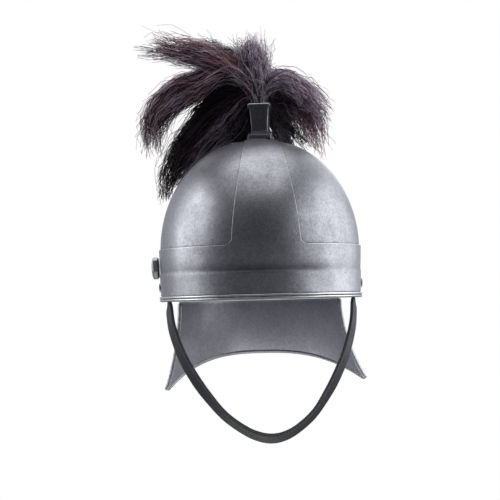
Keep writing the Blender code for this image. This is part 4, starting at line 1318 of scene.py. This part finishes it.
def make_cores():
    mesh = bmesh.new()
    for lock in LOCKS.values():
        if lock["core"] == 0:
            continue
        frames = lock_frames(lock["rows"])
        share = np.linspace(0.02, lock["core"], 26)
        path = clear_of_helmet(along(frames, "centre", share), 0.006)
        fade = np.clip((lock["core"] - share) / 0.25, 0.05, 1.0) ** 0.6
        radii = along(frames, "thickness", share) * CORE_SHARE * fade
        tube = tube_mesh("core", path, radii, 12)
        mesh.from_mesh(tube)
        bpy.data.meshes.remove(tube)
    for vert in mesh.verts:
        vert.co += vert.normal * 0.0016 * noise.noise(vert.co * 160)
    data = bpy.data.meshes.new("plume_core")
    mesh.to_mesh(data)
    mesh.free()
    data.shade_smooth()
    tone = data.attributes.new("tone", "FLOAT", "POINT")
    tone.data.foreach_set("value", [0.02] * len(data.vertices))
    return finish_object("plume_core", data, plume_hair, ["plume"])


plume_core = make_cores()

# %% [markdown]
# ## The studio
#
# The photograph was taken in a white studio: white all round, a soft light overhead and one on each
# side, and a darker room behind the camera, which the middle of the brow reflects. The stage is one
# wide white bowl, floor and wall in one, that shines evenly white into the camera and only dimly
# into reflections, so that the lights alone shape the metal.

# %% The stage
FLOOR_HEIGHT = -0.32
STAGE_RADIUS = 4.2
STAGE_CURVE = 1.0
STAGE_TOP = 3.6


def make_stage_look():
    look = bpy.data.materials.new("studio_white")
    look.use_nodes = True
    tree = look.node_tree
    tree.nodes.remove(tree.nodes["Principled BSDF"])
    out = tree.nodes["Material Output"]
    seen = add_node(tree, "ShaderNodeEmission", None, Strength=1.0)
    place = add_node(tree, "ShaderNodeSeparateXYZ", None,
                     Vector=add_node(tree, "ShaderNodeNewGeometry").outputs["Position"])
    floor = mapped(tree, place.outputs["Z"], FLOOR_HEIGHT + 0.25, FLOOR_HEIGHT, 0.0, 0.12)
    leaning = math_node(tree, "MULTIPLY", place.outputs["X"], 0.35)
    behind = math_node(tree, "ADD", place.outputs["Y"], leaning)
    wall = mapped(tree, behind, 0.8, 3.6, 0.06, 0.5)
    lit = add_node(tree, "ShaderNodeEmission", None, Color=(0.90, 0.92, 1.0, 1.0),
                   Strength=math_node(tree, "ADD", wall, floor))
    path = add_node(tree, "ShaderNodeLightPath")
    mix = add_node(tree, "ShaderNodeMixShader", None, i0=path.outputs["Is Camera Ray"],
                   i1=lit.outputs[0], i2=seen.outputs[0])
    tree.links.new(mix.outputs[0], out.inputs["Surface"])
    return look


def make_stage():
    profile = [(0.0, FLOOR_HEIGHT), (STAGE_RADIUS - STAGE_CURVE, FLOOR_HEIGHT)]
    for step in range(1, 13):
        turn = pi / 2 * step / 12
        profile.append((STAGE_RADIUS - STAGE_CURVE * (1 - sin(turn)), FLOOR_HEIGHT + STAGE_CURVE * (1 - cos(turn))))
    profile += [(STAGE_RADIUS, STAGE_TOP), (0.0, STAGE_TOP)]
    data = mesh_from_rows("studio_bowl", turned_rows(profile, 64), True)
    data.materials.append(make_stage_look())
    obj = bpy.data.objects.new("studio_bowl", data)
    bpy.context.scene.collection.objects.link(obj)
    return obj


stage = make_stage()


# %% The lights
def area_light(name, place, target, width, height, power):
    light = bpy.data.lights.new(name, "AREA")
    light.shape = "RECTANGLE"
    light.size = width
    light.size_y = height
    light.energy = power
    obj = bpy.data.objects.new(name, light)
    bpy.context.scene.collection.objects.link(obj)
    obj.location = place
    obj.rotation_euler = (Vector(target) - Vector(place)).to_track_quat("-Z", "Y").to_euler()
    obj.visible_camera = False
    return obj


MIDDLE = (0.0, 0.0, 0.08)
area_light("softbox_right", (-1.22, 0.17, 0.46), MIDDLE, 0.9, 1.1, 8.6)
area_light("softbox_left", (1.28, 0.08, 0.28), MIDDLE, 2.0, 1.5, 16.2)
area_light("softbox_top", (0.0, 0.02, 1.35), MIDDLE, 1.3, 1.4, 7.8)
area_light("softbox_back", (0.1, 1.5, 0.9), MIDDLE, 1.6, 1.0, 6.0)
area_light("softbox_floor", (0.0, 0.04, FLOOR_HEIGHT + 0.02), (0.04, 0.11, -0.05), 0.5, 0.2, 0.3)

world = bpy.data.worlds.new("dim_studio")
bpy.context.scene.world = world
world.use_nodes = True
world.node_tree.nodes["Background"].inputs["Color"].default_value = (1.0, 1.0, 1.0, 1.0)
world.node_tree.nodes["Background"].inputs["Strength"].default_value = 0.2
bpy.context.scene.view_settings.view_transform = "Standard"

# %% [markdown]
# ## The camera
#
# The camera stands level with the rim, slightly to the wearer's right, so the rim is seen edge-on
# and the strap's middle lies a little right of the band's. The lens is long: 500 pixels cover 530
# millimetres at the helmet's middle, 1.8 metres away. The picture is also turned by a degree and a
# half, because the helmet hangs lower on one side.

# %% Place the camera
CAMERA_PLACE = Vector((-0.038, -1.80, -0.004))
METRES_PER_PIXEL = 0.00106
PICTURE_SIZE = 500
RIM_MIDDLE_PIXEL = (261.1, 299.5)
ROLL = radians(1.5)
SENSOR = 36.0


def place_camera():
    distance = CAMERA_PLACE.length
    forward = -CAMERA_PLACE.normalized()
    level = forward.cross(Vector((0, 0, 1))).normalized()
    right = level * cos(ROLL) - level.cross(forward) * sin(ROLL)
    up = right.cross(forward)
    across = (RIM_MIDDLE_PIXEL[0] - PICTURE_SIZE / 2) * METRES_PER_PIXEL
    above = (PICTURE_SIZE / 2 - RIM_MIDDLE_PIXEL[1]) * METRES_PER_PIXEL
    target = -right * across - up * above
    forward = (target - CAMERA_PLACE).normalized()
    right = (right - forward * right.dot(forward)).normalized()
    up = right.cross(forward)
    camera = bpy.data.cameras.new("camera")
    camera.sensor_width = SENSOR
    camera.lens = SENSOR * distance / (PICTURE_SIZE * METRES_PER_PIXEL)
    obj = bpy.data.objects.new("camera", camera)
    bpy.context.scene.collection.objects.link(obj)
    turn = Matrix((right, up, -forward)).transposed().to_4x4()
    obj.matrix_world = Matrix.Translation(CAMERA_PLACE) @ turn
    bpy.context.scene.camera = obj
    return obj


camera = place_camera()
print("lens:", round(camera.data.lens, 1), "mm")
